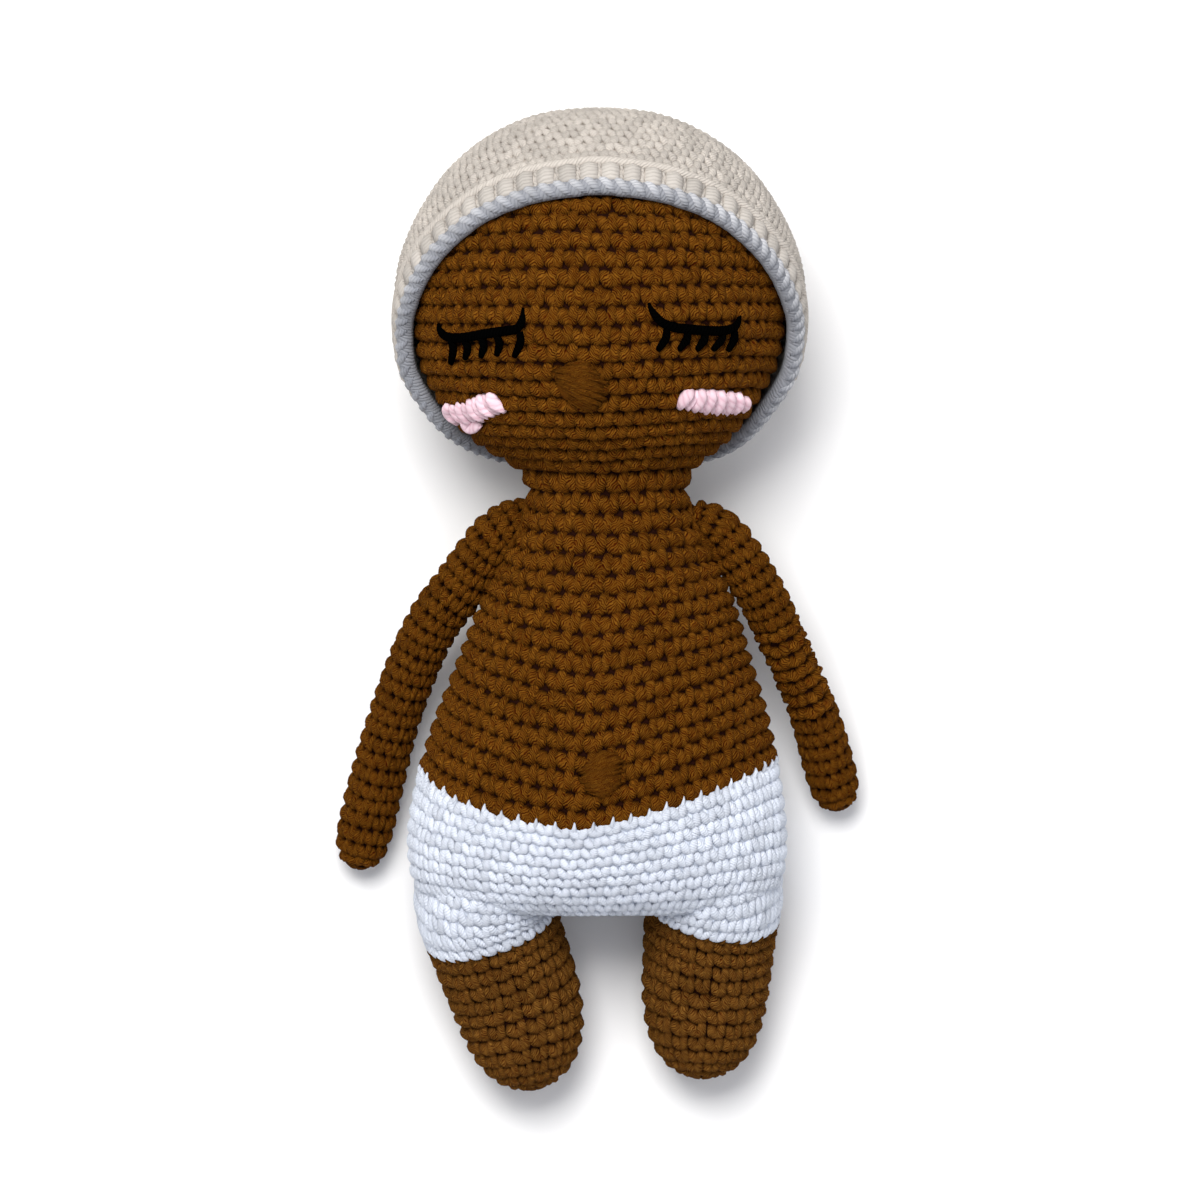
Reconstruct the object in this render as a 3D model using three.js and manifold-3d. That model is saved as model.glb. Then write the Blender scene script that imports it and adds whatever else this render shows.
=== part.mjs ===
// A crocheted doll lying on its back: closed eyes, bare brown body worked from the feet up in one
// fabric, white shorts worked into it, two sewn-on arms and a white bonnet on the back of its head.
// Millimetres. X runs across the doll, Y from its feet to its crown, Z up from the table.
import * as THREE from 'three';
import { mergeVertices } from 'three/addons/utils/BufferGeometryUtils.js';
import Module from 'manifold-3d';

const wasm = await Module();
wasm.setup();

// Yarn and seams
const fabricWall = 3; // single crochet, tip of a stitch to its back
const seamGap = 0.3; // left between two pieces that touch
const swingGap = 0.6; // left round an arm's shoulder, which turns in its seat
const restCut = 0.5; // how deep the table flattens what lies on it
const overrun = 30; // how far a cutting block reaches past what it cuts

// Head, from the crown down to the neck
const headLength = 92.5;
const headHalfWidth = 49;
const headHalfDepth = 48;
const headLean = -2.6; // the crown's place across, seen from the neck
const chinRise = 5; // the head's middle lies this much farther from the table than its neck end

// Bonnet
const capEase = 1.2; // room between head and bonnet
const capWall = 3.8;
const edgingRadius = 2.1; // the corded round along the bonnet's mouth

// Neck
const neckLength = 6;
const neckHalfWidth = 21.3;
const neckHalfDepth = 20;
const neckLean = 3.2; // the neck's place across, seen from the hips

// Body, from the neck down to the crotch
const bodyLength = 111;
const bodyHalfWidth = 49.8;
const bodyHalfDepth = 37.5;
const neckRise = 8.5; // the body's neck end lies this much farther from the table than its hips
const waistDrop = 70.5; // from the neck to the white yarn, at the sides
const waistTilt = 0.39; // radians: the waist dips at the front

// Legs
const legLength = 73;
const legHalfWidth = 18.6;
const legHalfDepth = 17.8;
const legStart = 85; // from the neck down to the top of the legs' rounds, inside the hips
const legRise = 34; // from the table up to the top of a leg's middle line
const leftLegAside = -27;
const rightLegAside = 27.5;
const leftHemDrop = 33; // along the leg, from its top to the change of yarn
const rightHemDrop = 28.5;

// Arms
const leftArmHalfWidth = 7.6;
const rightArmHalfWidth = 7;
const armHalfDepth = 7.2;
const leftArmReach = 92; // from the shoulder to the fingertips, measured down the doll
const rightArmReach = 78;
const armDrop = 9; // from the neck down to the middle of the shoulder
const armNest = 2.2; // how deep the shoulder's round end sits in the body
const shoulderLow = 3; // the shoulder's middle lies this much nearer the table than the body's
const handLift = 0.4; // between the hands and the table

// Stitched details
const noseWidth = 12.5;
const noseHeight = 12;
const noseBulge = 3.6;
const noseDrop = 72; // from the crown
const noseAside = -4.2;
const navelWidth = 12;
const navelHeight = 11.5;
const navelBulge = 3.2;
const navelDrop = 71; // from the neck
const navelAside = 1;
const lashYarn = 0.85; // radius of the black embroidery thread
const lidYarn = 1.1;
const eyeWidth = 19.5;
const lidCorner = 4.2; // how far the lid's two ends turn up
const lashLength = 6;
const leftEyeDrop = 59; // from the crown
const rightEyeDrop = 57.7;
const leftEyeAside = -29.7;
const rightEyeAside = 24.6;
const cheekYarn = 1.15; // radius of a cheek strand
const leftCheekWidth = 12.5;
const rightCheekWidth = 15.5;
const strandLength = 5.6;
const leftCheekDrop = 75.5;
const rightCheekDrop = 75;
const leftCheekAside = -30;
const rightCheekAside = 28.4;
const seamYarn = 0.9;

// Outlines as [along, half width, half depth] shares, each form's own length and half sizes being 1
const headOutlineShares = [
  [0, 0, 0],
  [0.018, 0.26, 0.26],
  [0.07, 0.5, 0.5],
  [0.153, 0.71, 0.71],
  [0.262, 0.866, 0.866],
  [0.388, 0.966, 0.966],
  [0.524, 1, 1],
  [0.62, 0.99, 0.985],
  [0.7, 0.955, 0.95],
  [0.775, 0.88, 0.875],
  [0.85, 0.785, 0.78],
  [0.91, 0.68, 0.675],
  [0.96, 0.55, 0.54],
  [1, 0.44, 0.422],
];
const bodyOutlineShares = [
  [0, 0.43, 0.535],
  [0.06, 0.465, 0.56],
  [0.172, 0.61, 0.68],
  [0.28, 0.71, 0.78],
  [0.4, 0.8, 0.87],
  [0.52, 0.87, 0.93],
  [0.63, 0.93, 0.976],
  [0.73, 0.985, 1],
  [0.8, 1, 0.965],
  [0.87, 0.995, 0.88],
  [0.93, 0.965, 0.74],
  [0.975, 0.87, 0.56],
  [1, 0.62, 0.34],
];
const legOutlineShares = [
  [0, 0, 0],
  [0.03, 0.62, 0.8],
  [0.12, 0.92, 1.2],
  [0.28, 1, 1.16],
  [0.42, 0.95, 1],
  [0.58, 0.93, 0.93],
  [0.73, 0.89, 0.89],
  [0.84, 0.79, 0.8],
  [0.92, 0.62, 0.64],
  [0.98, 0.33, 0.34],
  [1, 0, 0],
];
const armOutlineShares = [
  [0, 1, 1],
  [0.2, 0.96, 0.96],
  [0.4, 0.93, 0.93],
  [0.6, 0.92, 0.92],
  [0.78, 0.98, 0.98],
  [0.9, 1.02, 1.02],
  [0.955, 0.88, 0.9],
  [0.985, 0.58, 0.6],
  [1, 0, 0],
];

// Middle lines as [aside, along, up] shares: of the neck's lean and rise and the body's length,
// of a leg's length, and of an arm's reach and the drop from its shoulder to its hand
const bodyLineShares = [
  [1, 0, 1],
  [1, 0.17, 0.41],
  [0.68, 0.4, 0.07],
  [0.3, 0.52, 0],
  [0, 0.63, 0],
  [0, 1, -0.1],
];
const leftLegLineShares = [
  [0, 0, 0],
  [-0.04, 0.28, -0.09],
  [-0.01, 0.44, -0.14],
  [0.07, 0.7, -0.2],
  [0.125, 0.98, -0.23],
];
const rightLegLineShares = [
  [0, 0, 0],
  [0.04, 0.24, -0.09],
  [0.03, 0.4, -0.14],
  [0.01, 0.68, -0.21],
  [-0.005, 0.95, -0.24],
];
const leftArmLineShares = [
  [0, 0, 1],
  [0.1, 0.13, 0.86],
  [0.2, 0.27, 0.7],
  [0.3, 0.5, 0.4],
  [0.37, 0.74, 0.16],
  [0.415, 1, 0],
];
const rightArmLineShares = [
  [0, 0, 1],
  [0.125, 0.17, 0.97],
  [0.2, 0.36, 0.76],
  [0.3, 0.6, 0.4],
  [0.37, 0.82, 0.14],
  [0.41, 1, 0],
];

// The bonnet's mouth seen from the side, as [along, up] shares of the head's half sizes
const mouthShares = [
  [0.95, 1.3],
  [0.54, 0.84],
  [0.4, 0.717],
  [0.2, 0.52],
  [0.02, 0.26],
  [-0.1, 0.12],
  [-0.3, 0],
  [-0.48, -0.08],
  [-0.58, -0.2],
  [-0.6, -0.42],
  [-0.66, -0.66],
  [-0.95, -1],
  [-1.3, -1.4],
];
const mouthFarShares = [
  [-2.6, -1.4],
  [-2.6, 2],
  [0.95, 2],
];

// Lashes as [root, tip] shares of the eye's width, from its outer to its inner corner
const leftLashShares = [
  [0.1, 0.12],
  [0.27, 0.28],
  [0.46, 0.47],
  [0.66, 0.65],
  [0.93, 0.87],
];
const rightLashShares = [
  [0.9, 0.83],
  [0.76, 0.67],
  [0.57, 0.48],
  [0.38, 0.28],
  [0.13, 0.04],
];

// Cheek strands as [aside, top, foot] shares of the cheek's width and of a strand's length
const leftCheekShares = [
  [0, 0, -0.95],
  [0.17, 0.06, -1.22],
  [0.34, 0.2, -0.98],
  [0.52, 0.36, -0.72],
  [0.7, 0.55, -0.4],
  [0.86, 0.7, -0.1],
];
const rightCheekShares = [
  [0.06, -0.15, -0.52],
  [0.18, 0.3, -0.62],
  [0.34, 0.3, -0.68],
  [0.5, 0.26, -0.72],
  [0.66, 0.24, -0.74],
  [0.82, 0.22, -0.72],
  [0.97, 0.2, -0.6],
];
// How far a strand leans sideways from its top to its foot, as a share of its length
const leftSlantShare = 0.3;
const rightSlantShare = 0.12;

// How finely each form is divided
const formSides = 24;
const coreSides = 16;
const limbSides = 14;
const limbCoreSides = 12;
const yarnSides = 5;
const edgingSteps = 44;
const mouthSamples = 60;
const rimSamples = 4000;
const lidSteps = 8;
const lashSteps = 2;
const hemSpanShare = 1.35; // of a leg's half width, the half side of the block that parts it from the hips
const widestShare = 0.524; // of the head's length, where it is widest
const faceLift = 0.9; // of a thread's radius, how far its middle lies above the fabric
const poleShare = 0.4; // below this share of its width a form draws in to its round end

const yarn = {
  brown: { color: 0x7a4b14, roughness: 0.95 },
  white: { color: 0xe6e9f0, roughness: 0.92 },
  black: { color: 0x0b0a0a, roughness: 0.6 },
  pink: { color: 0xe9c3cb, roughness: 0.85 },
  fibre: { color: 0xf3f1ea, roughness: 1 },
};

const X = new THREE.Vector3(1, 0, 0);
const Y = new THREE.Vector3(0, 1, 0);
const Z = new THREE.Vector3(0, 0, 1);

// Heights above the table and places along the doll, the hips' middle line being X = 0
const headUp = headHalfDepth + capEase + capWall - restCut;
const hipsUp = bodyHalfDepth - restCut;
const neckUp = hipsUp + neckRise;
const headEndUp = headUp - chinRise;
const crown = neckLength + headLength;

function solid(geometry) {
  const bare = geometry.clone();
  bare.deleteAttribute('normal');
  bare.deleteAttribute('uv');
  const merged = mergeVertices(bare);
  const mesh = new wasm.Mesh({
    numProp: 3,
    vertProperties: new Float32Array(merged.attributes.position.array),
    triVerts: new Uint32Array(merged.index.array),
  });
  return new wasm.Manifold(mesh);
}

function node(name, body, finish) {
  const { vertProperties, triVerts } = body.getMesh();
  const geometry = new THREE.BufferGeometry();
  geometry.setAttribute('position', new THREE.BufferAttribute(vertProperties, 3));
  geometry.setIndex(new THREE.BufferAttribute(triVerts, 1));
  geometry.computeVertexNormals();
  const material = new THREE.MeshStandardMaterial({ ...finish, metalness: 0 });
  const mesh = new THREE.Mesh(geometry, material);
  mesh.name = name;
  return mesh;
}

// Joins rings of points into one closed skin. A ring of no size is a round end's tip.
function skinOf(rings, sides) {
  const points = [];
  const starts = rings.map(({ middle, across, deep }) => {
    const start = points.length;
    const steps = across.length() > 0 ? sides : 1;
    for (let i = 0; i < steps; i += 1) {
      const turn = (2 * Math.PI * i) / sides;
      const spoke = across.clone().multiplyScalar(Math.cos(turn));
      points.push(middle.clone().add(spoke).addScaledVector(deep, Math.sin(turn)));
    }
    return { start, steps };
  });
  const faces = [];
  const at = ({ start, steps }, i) => start + (steps === 1 ? 0 : i % sides);
  for (let k = 0; k + 1 < starts.length; k += 1) {
    for (let i = 0; i < sides; i += 1) {
      const [a, b] = [at(starts[k], i), at(starts[k], i + 1)];
      const [c, d] = [at(starts[k + 1], i), at(starts[k + 1], i + 1)];
      if (a !== b) faces.push(a, b, c);
      if (c !== d) faces.push(b, d, c);
    }
  }
  for (const end of [0, rings.length - 1]) {
    if (starts[end].steps > 1) {
      const centre = points.push(rings[end].middle.clone()) - 1;
      for (let i = 0; i < sides; i += 1) {
        const [a, b] = [at(starts[end], i), at(starts[end], i + 1)];
        faces.push(centre, end === 0 ? b : a, end === 0 ? a : b);
      }
    }
  }
  const geometry = new THREE.BufferGeometry().setFromPoints(points);
  geometry.setIndex(faces);
  return geometry;
}

// The rings of a soft form, drawn in by a wall's thickness, or let out where that is negative
function ringsOf({ line, outlineShares, halfWidth, halfDepth, square }, inset = 0) {
  const outline = new THREE.CatmullRomCurve3(outlineShares.map((row) => new THREE.Vector3(...row)));
  const length = line.getLength();
  const [first, last] = [outlineShares[0][1], outlineShares.at(-1)[1]];
  const startInset = first === 0 ? inset : 0;
  const endInset = last === 0 ? inset : 0;
  const count = outlineShares.length - 1;
  return Array.from({ length: count + 1 }, (_, k) => {
    const row = outline.getPoint(k / count);
    const along = startInset + row.x * (length - startInset - endInset);
    const share = THREE.MathUtils.clamp(along / length, 0, 1);
    const heading = square ? Y.clone().negate() : line.getTangentAt(share);
    const middle = line.getPointAt(share).addScaledVector(heading, along - share * length);
    const side = new THREE.Vector3().crossVectors(Z, heading).normalize();
    const up = new THREE.Vector3().crossVectors(heading, side);
    const drawn = inset * Math.min(1, Math.max(row.y, 0) / poleShare);
    const tip = (k === 0 && first === 0) || (k === count && last === 0);
    const [wide, high] = tip ? [0, 0] : [row.y * halfWidth - drawn, row.z * halfDepth - drawn];
    return { middle, across: side.multiplyScalar(wide), deep: up.multiplyScalar(high) };
  });
}

const bodyOf = (form, sides, inset) => solid(skinOf(ringsOf(form, inset), sides));

// A block whose near face is square to a heading at a point
function blockAt(point, heading, halfSpan, reach) {
  const geometry = new THREE.BoxGeometry(2 * halfSpan, 2 * halfSpan, reach);
  geometry.translate(0, 0, reach / 2);
  geometry.applyQuaternion(new THREE.Quaternion().setFromUnitVectors(Z, heading));
  geometry.translate(...point);
  return solid(geometry);
}

const moved = (point, heading, by) => point.clone().addScaledVector(heading, by);

function curveOf(shares, start, size) {
  return new THREE.CatmullRomCurve3(
    shares.map(([aside, along, up]) => new THREE.Vector3(
      start.x + aside * size.x, start.y - along * size.y, start.z + up * size.z)));
}

// The form's middle and half sizes at a place along it
function sectionAt(rings, y) {
  const next = rings.findIndex(({ middle }) => middle.y <= y);
  const [a, b] = [rings[Math.max(next - 1, 0)], rings[next]];
  const span = a.middle.y - b.middle.y;
  const share = span > 0 ? (a.middle.y - y) / span : 0;
  return {
    middle: a.middle.clone().lerp(b.middle, share),
    half: THREE.MathUtils.lerp(a.across.length(), b.across.length(), share),
    deep: THREE.MathUtils.lerp(a.deep.length(), b.deep.length(), share),
  };
}

// The form's surface, straight above a place on it
function topOf(rings, x, y) {
  const { middle, half, deep } = sectionAt(rings, y);
  const left = Math.max(1 - ((x - middle.x) / half) ** 2, 0);
  return new THREE.Vector3(x, y, middle.z + deep * Math.sqrt(left));
}

function roundSection(radius) {
  return new THREE.Shape().absarc(0, 0, radius, 0, 2 * Math.PI);
}

// A length of yarn laid along points
function strand(points, radius, steps) {
  const extrudePath = new THREE.CatmullRomCurve3(points);
  const options = { extrudePath, steps, bevelEnabled: false, curveSegments: yarnSides / 2 };
  return solid(new THREE.ExtrudeGeometry(roundSection(radius), options));
}

const fused = (bodies) => bodies.reduce((whole, body) => whole.add(body));

// A closed loop of cord, its sections turned to face away from a centre
function hoop(points, centre, radius) {
  const places = [];
  const faces = [];
  const count = points.length;
  points.forEach((point, k) => {
    const heading = points[(k + 1) % count].clone().sub(points[(k + count - 1) % count]).normalize();
    const outward = point.clone().sub(centre);
    outward.addScaledVector(heading, -outward.dot(heading)).normalize();
    const side = new THREE.Vector3().crossVectors(heading, outward);
    for (let i = 0; i < yarnSides; i += 1) {
      const turn = (2 * Math.PI * i) / yarnSides;
      const place = moved(point, outward, radius * Math.cos(turn));
      places.push(place.addScaledVector(side, radius * Math.sin(turn)));
      const [a, b] = [k * yarnSides + i, k * yarnSides + ((i + 1) % yarnSides)];
      const [c, d] = [(a + yarnSides) % (count * yarnSides), (b + yarnSides) % (count * yarnSides)];
      faces.push(a, b, c, b, d, c);
    }
  });
  const geometry = new THREE.BufferGeometry().setFromPoints(places);
  geometry.setIndex(faces);
  return solid(geometry);
}

function ball(middle, radius) {
  const geometry = new THREE.SphereGeometry(radius, limbSides, limbSides / 2);
  geometry.translate(...middle);
  return solid(geometry);
}

// A satin-stitched bump, standing on the form below it
function bump(form, x, y, width, height, bulge) {
  const geometry = new THREE.SphereGeometry(1, coreSides, coreSides / 2);
  geometry.rotateX(Math.PI / 2);
  geometry.scale(width / 2, height / 2, bulge);
  geometry.translate(...topOf(ringsOf(form), x, y));
  return solid(geometry).subtract(bodyOf(form, formSides, -seamGap));
}

// Forms, each with its middle line, its outline and its half sizes
const headForm = {
  line: new THREE.CatmullRomCurve3([
    new THREE.Vector3(neckLean + headLean, crown, headUp),
    new THREE.Vector3(neckLean + headLean, crown - headLength * 0.5, headUp),
    new THREE.Vector3(neckLean + headLean * 0.7, crown - headLength * 0.82, headUp - chinRise * 0.25),
    new THREE.Vector3(neckLean, neckLength, headEndUp),
  ]),
  outlineShares: headOutlineShares,
  halfWidth: headHalfWidth,
  halfDepth: headHalfDepth,
  square: true,
};
const bodyForm = {
  line: new THREE.CatmullRomCurve3(bodyLineShares.map(([aside, along, up]) => new THREE.Vector3(
    aside * neckLean, -along * bodyLength, hipsUp + up * neckRise))),
  outlineShares: bodyOutlineShares,
  halfWidth: bodyHalfWidth,
  halfDepth: bodyHalfDepth,
  square: true,
};
const neckForm = {
  line: new THREE.LineCurve3(
    new THREE.Vector3(neckLean, neckLength, headEndUp), new THREE.Vector3(neckLean, 0, neckUp)),
  outlineShares: [
    [0, ...matchedShares(headForm, headOutlineShares.at(-1))],
    [0.5, 1, 1],
    [1, ...matchedShares(bodyForm, bodyOutlineShares[0])],
  ],
  halfWidth: neckHalfWidth,
  halfDepth: neckHalfDepth,
  square: true,
};

function matchedShares(form, [, wide, deep]) {
  return [(wide * form.halfWidth) / neckHalfWidth, (deep * form.halfDepth) / neckHalfDepth];
}

const legForm = (aside, lineShares) => ({
  line: curveOf(lineShares, new THREE.Vector3(aside, -legStart, legRise),
    new THREE.Vector3(legLength, legLength, legLength)),
  outlineShares: legOutlineShares,
  halfWidth: legHalfWidth,
  halfDepth: legHalfDepth,
});
const leftLegForm = legForm(leftLegAside, leftLegLineShares);
const rightLegForm = legForm(rightLegAside, rightLegLineShares);

// The middle of a shoulder's round end, nested in the body's side
function shoulderOf(side, halfWidth) {
  const onBody = sectionAt(ringsOf(bodyForm), -armDrop);
  const away = onBody.half + halfWidth - armNest;
  return new THREE.Vector3(onBody.middle.x + side * away, -armDrop, onBody.middle.z - shoulderLow);
}

const handUp = armHalfDepth + handLift;
const armForm = (side, halfWidth, reach, lineShares) => {
  const shoulder = shoulderOf(side, halfWidth);
  const size = new THREE.Vector3(side * reach, reach, shoulder.z - handUp);
  const start = new THREE.Vector3(shoulder.x, shoulder.y, handUp);
  return {
    shoulder,
    line: curveOf(lineShares, start, size),
    outlineShares: armOutlineShares,
    halfWidth,
    halfDepth: Math.min(armHalfDepth, halfWidth),
  };
};
const leftArmForm = armForm(-1, leftArmHalfWidth, leftArmReach, leftArmLineShares);
const rightArmForm = armForm(1, rightArmHalfWidth, rightArmReach, rightArmLineShares);

// Places where the fabric changes yarn or a seam runs, each with a heading towards the feet
const towardsFeet = Y.clone().negate();
const neckTop = new THREE.Vector3(0, neckLength, 0);
const neckBase = new THREE.Vector3(0, 0, 0);
const waist = new THREE.Vector3(0, -waistDrop, hipsUp);
const waistHeading = new THREE.Vector3(0, -Math.cos(waistTilt), -Math.sin(waistTilt));
const wide = bodyHalfWidth + headHalfWidth + overrun;

const belowTable = blockAt(new THREE.Vector3(0, 0, 0), Z.clone().negate(), 2 * wide, overrun);
const past = (point, heading, by) => blockAt(moved(point, heading, by), heading, wide, 2 * wide);
const before = (point, heading, by) => past(point, heading.clone().negate(), by);
const halfGap = seamGap / 2;

// The block that holds all of a leg past its hem
function legPast(form, hemDrop, by) {
  const share = hemDrop / form.line.getLength();
  const heading = form.line.getTangentAt(share);
  const start = moved(form.line.getPointAt(share), heading, by);
  return blockAt(start, heading, form.halfWidth * hemSpanShare, legLength);
}

const legs = [
  { name: 'left_leg', form: leftLegForm, hemDrop: leftHemDrop },
  { name: 'right_leg', form: rightLegForm, hemDrop: rightHemDrop },
];
const arms = [
  { name: 'left', form: leftArmForm },
  { name: 'right', form: rightArmForm },
];

// An arm's solid with its round end at the shoulder
function armBody(form, inset) {
  const sides = inset > 0 ? limbCoreSides : limbSides;
  return bodyOf(form, sides, inset).add(ball(form.shoulder, form.halfWidth - inset));
}

// Everything worked in one fabric from the feet to the neck, drawn in by a wall's thickness
function wholeBody(inset) {
  const [sides, legSides] = inset > 0 ? [coreSides, limbCoreSides] : [formSides, limbSides];
  return fused([bodyOf(bodyForm, sides, inset), ...legs.map(({ form }) => bodyOf(form, legSides, inset))]);
}

const bodyShell = wholeBody(0).subtract(wholeBody(fabricWall)).subtract(belowTable);
const bodyCore = wholeBody(fabricWall + seamGap);
const armSeats = fused(arms.map(({ form }) => armBody(form, -swingGap)));
const allLegs = fused(legs.map(({ form, hemDrop }) => legPast(form, hemDrop, -halfGap)));

const torsoFabric = bodyShell
  .subtract(before(neckBase, towardsFeet, -halfGap))
  .subtract(past(waist, waistHeading, -halfGap))
  .subtract(armSeats);
const shortsFabric = bodyShell
  .subtract(before(waist, waistHeading, -halfGap))
  .subtract(allLegs);
const bodyStuffing = bodyCore
  .subtract(before(neckBase, towardsFeet, -halfGap))
  .subtract(allLegs)
  .subtract(armSeats);

function shoulderSeam(form) {
  const thick = 2 * seamYarn;
  return ball(form.shoulder, form.halfWidth + swingGap + thick)
    .intersect(bodyOf(bodyForm, formSides, -seamGap - thick))
    .subtract(bodyOf(bodyForm, formSides, -seamGap))
    .subtract(armBody(form, -swingGap))
    .subtract(before(neckBase, towardsFeet, halfGap));
}

// The arm's open end faces the body, and its stuffing shows there
function openEnd(form) {
  const inward = new THREE.Vector3(-Math.sign(form.shoulder.x - neckLean), 0, 0);
  const depth = form.halfWidth - fabricWall - seamGap;
  return blockAt(moved(form.shoulder, inward, depth), inward, form.halfWidth, form.halfWidth);
}

function armNodes({ name, form }) {
  const fabric = armBody(form, 0).subtract(armBody(form, fabricWall)).subtract(openEnd(form));
  return [
    node(`${name}_arm_fabric`, fabric, yarn.brown),
    node(`${name}_arm_stuffing`, armBody(form, fabricWall + seamGap), yarn.fibre),
    node(`${name}_shoulder_seam`, shoulderSeam(form), yarn.brown),
  ];
}

function legNodes({ name, form, hemDrop }) {
  const end = legPast(form, hemDrop, halfGap);
  const fabric = bodyOf(form, limbSides, 0).subtract(bodyOf(form, limbCoreSides, fabricWall)).intersect(end);
  const stuffing = bodyOf(form, limbCoreSides, fabricWall + seamGap).intersect(end);
  return [node(`${name}_fabric`, fabric, yarn.brown), node(`${name}_stuffing`, stuffing, yarn.fibre)];
}

function neckNodes() {
  const trim = (body) => body
    .subtract(before(neckTop, towardsFeet, -halfGap))
    .subtract(past(neckBase, towardsFeet, -halfGap));
  const shell = bodyOf(neckForm, formSides, 0).subtract(bodyOf(neckForm, coreSides, fabricWall));
  return [
    node('neck_fabric', trim(shell), yarn.brown),
    node('neck_stuffing', trim(bodyOf(neckForm, coreSides, fabricWall + seamGap)), yarn.fibre),
  ];
}

function headNodes() {
  const trim = (body) => body.subtract(past(neckTop, towardsFeet, -halfGap));
  const shell = bodyOf(headForm, formSides, 0).subtract(bodyOf(headForm, coreSides, fabricWall));
  return [
    node('head_fabric', trim(shell), yarn.brown),
    node('head_stuffing', trim(bodyOf(headForm, coreSides, fabricWall + seamGap)), yarn.fibre),
  ];
}

// Clears a piece off the head's surface
const offFace = (body) => body.subtract(bodyOf(headForm, formSides, -seamGap));

const headMiddle = new THREE.Vector3(neckLean + headLean, crown - headLength * widestShare, headUp);
const onMouth = ([along, up]) => new THREE.Vector2(
  headMiddle.y + along * headHalfDepth, headMiddle.z + up * headHalfDepth);
const mouthLine = new THREE.SplineCurve(mouthShares.map(onMouth));

// The bonnet's mouth, running round the head on the middle of the bonnet's wall
function mouthPoints() {
  const rings = ringsOf(headForm, -capEase - capWall / 2);
  const oneSide = mouthLine.getPoints(rimSamples).flatMap(({ x: y, y: z }) => {
    if (y > rings[0].middle.y || y < rings.at(-1).middle.y) return [];
    const { middle, half, deep } = sectionAt(rings, y);
    const left = 1 - ((z - middle.z) / deep) ** 2;
    return left > 0 ? [new THREE.Vector3(half * Math.sqrt(left), y, z)] : [];
  });
  oneSide[0].x = 0;
  oneSide.at(-1).x = 0;
  const around = [
    ...oneSide.map(({ x, y, z }) => new THREE.Vector3(headMiddle.x + x, y, z)),
    ...oneSide.slice(1, -1).toReversed().map(({ x, y, z }) => new THREE.Vector3(headMiddle.x - x, y, z)),
  ];
  return new THREE.CatmullRomCurve3(around, true).getSpacedPoints(edgingSteps).slice(1);
}

// All that lies in front of the bonnet's mouth, and a little way behind it for its corded edge
function mouthBlock(behind) {
  const edge = Array.from({ length: mouthSamples + 1 }, (_, i) => {
    const heading = mouthLine.getTangent(i / mouthSamples);
    const away = new THREE.Vector2(-heading.y, heading.x);
    return mouthLine.getPoint(i / mouthSamples).addScaledVector(away, behind);
  });
  const outline = new THREE.Shape([...edge, ...mouthFarShares.map(onMouth)]);
  const geometry = new THREE.ExtrudeGeometry(outline, { depth: 2 * wide, bevelEnabled: false });
  geometry.translate(0, 0, -wide);
  geometry.applyMatrix4(new THREE.Matrix4().makeBasis(Y, Z, X));
  return solid(geometry);
}

function capNodes() {
  const crownFabric = bodyOf(headForm, formSides, -capEase - capWall)
    .subtract(bodyOf(headForm, formSides, -capEase))
    .subtract(mouthBlock(edgingRadius + 2 * seamGap))
    .subtract(belowTable);
  return [
    node('cap_crown', crownFabric, yarn.white),
    node('cap_edging', offFace(hoop(mouthPoints(), headMiddle, edgingRadius)), yarn.white),
  ];
}

// Stitches on the face, whose thread lies on the fabric
function onFace(x, y, radius) {
  return topOf(ringsOf(headForm, -seamGap - radius * faceLift), x, y);
}

function eye(aside, drop, lashShares) {
  const [x, y] = [neckLean + headLean + aside, crown - drop];
  const half = eyeWidth / 2;
  const lidShares = [[-1.08, 1], [-1, 0.2], [-0.75, -0.05], [0, 0], [0.75, -0.05], [1, 0.25], [1.08, 1.2]];
  const lid = strand(lidShares.map(([across, up]) => onFace(x + across * half, y + up * lidCorner, lidYarn)),
    lidYarn, lidSteps);
  const lashes = lashShares.map(([root, tip]) => {
    const [from, to] = [x + (2 * root - 1) * half, x + (2 * tip - 1) * half];
    const places = [0, 0.5, 1].map((share) => onFace(
      THREE.MathUtils.lerp(from, to, share), y - share * lashLength, lashYarn));
    return strand(places, lashYarn, lashSteps);
  });
  return offFace(fused([lid, ...lashes]));
}

// Strands side by side, with the yarn that carries on from one to the next under their middles
function cheek(aside, drop, width, shares, slantShare) {
  const [x, y] = [neckLean + headLean + aside - width / 2, crown - drop];
  const lean = slantShare * strandLength;
  const rows = shares.map(([across, top, foot]) => {
    const at = x + across * width;
    return [
      onFace(at - lean / 2, y + top * strandLength, cheekYarn),
      onFace(at, y + ((top + foot) / 2) * strandLength, cheekYarn),
      onFace(at + lean / 2, y + foot * strandLength, cheekYarn),
    ];
  });
  const carrier = strand(rows.map((places) => places[1]), cheekYarn, lidSteps);
  return offFace(fused([carrier, ...rows.map((places) => strand(places, cheekYarn, lashSteps))]));
}

const leftCheek = cheek(leftCheekAside, leftCheekDrop, leftCheekWidth, leftCheekShares, leftSlantShare);
const rightCheek = cheek(rightCheekAside, rightCheekDrop, rightCheekWidth, rightCheekShares, rightSlantShare);

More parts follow.
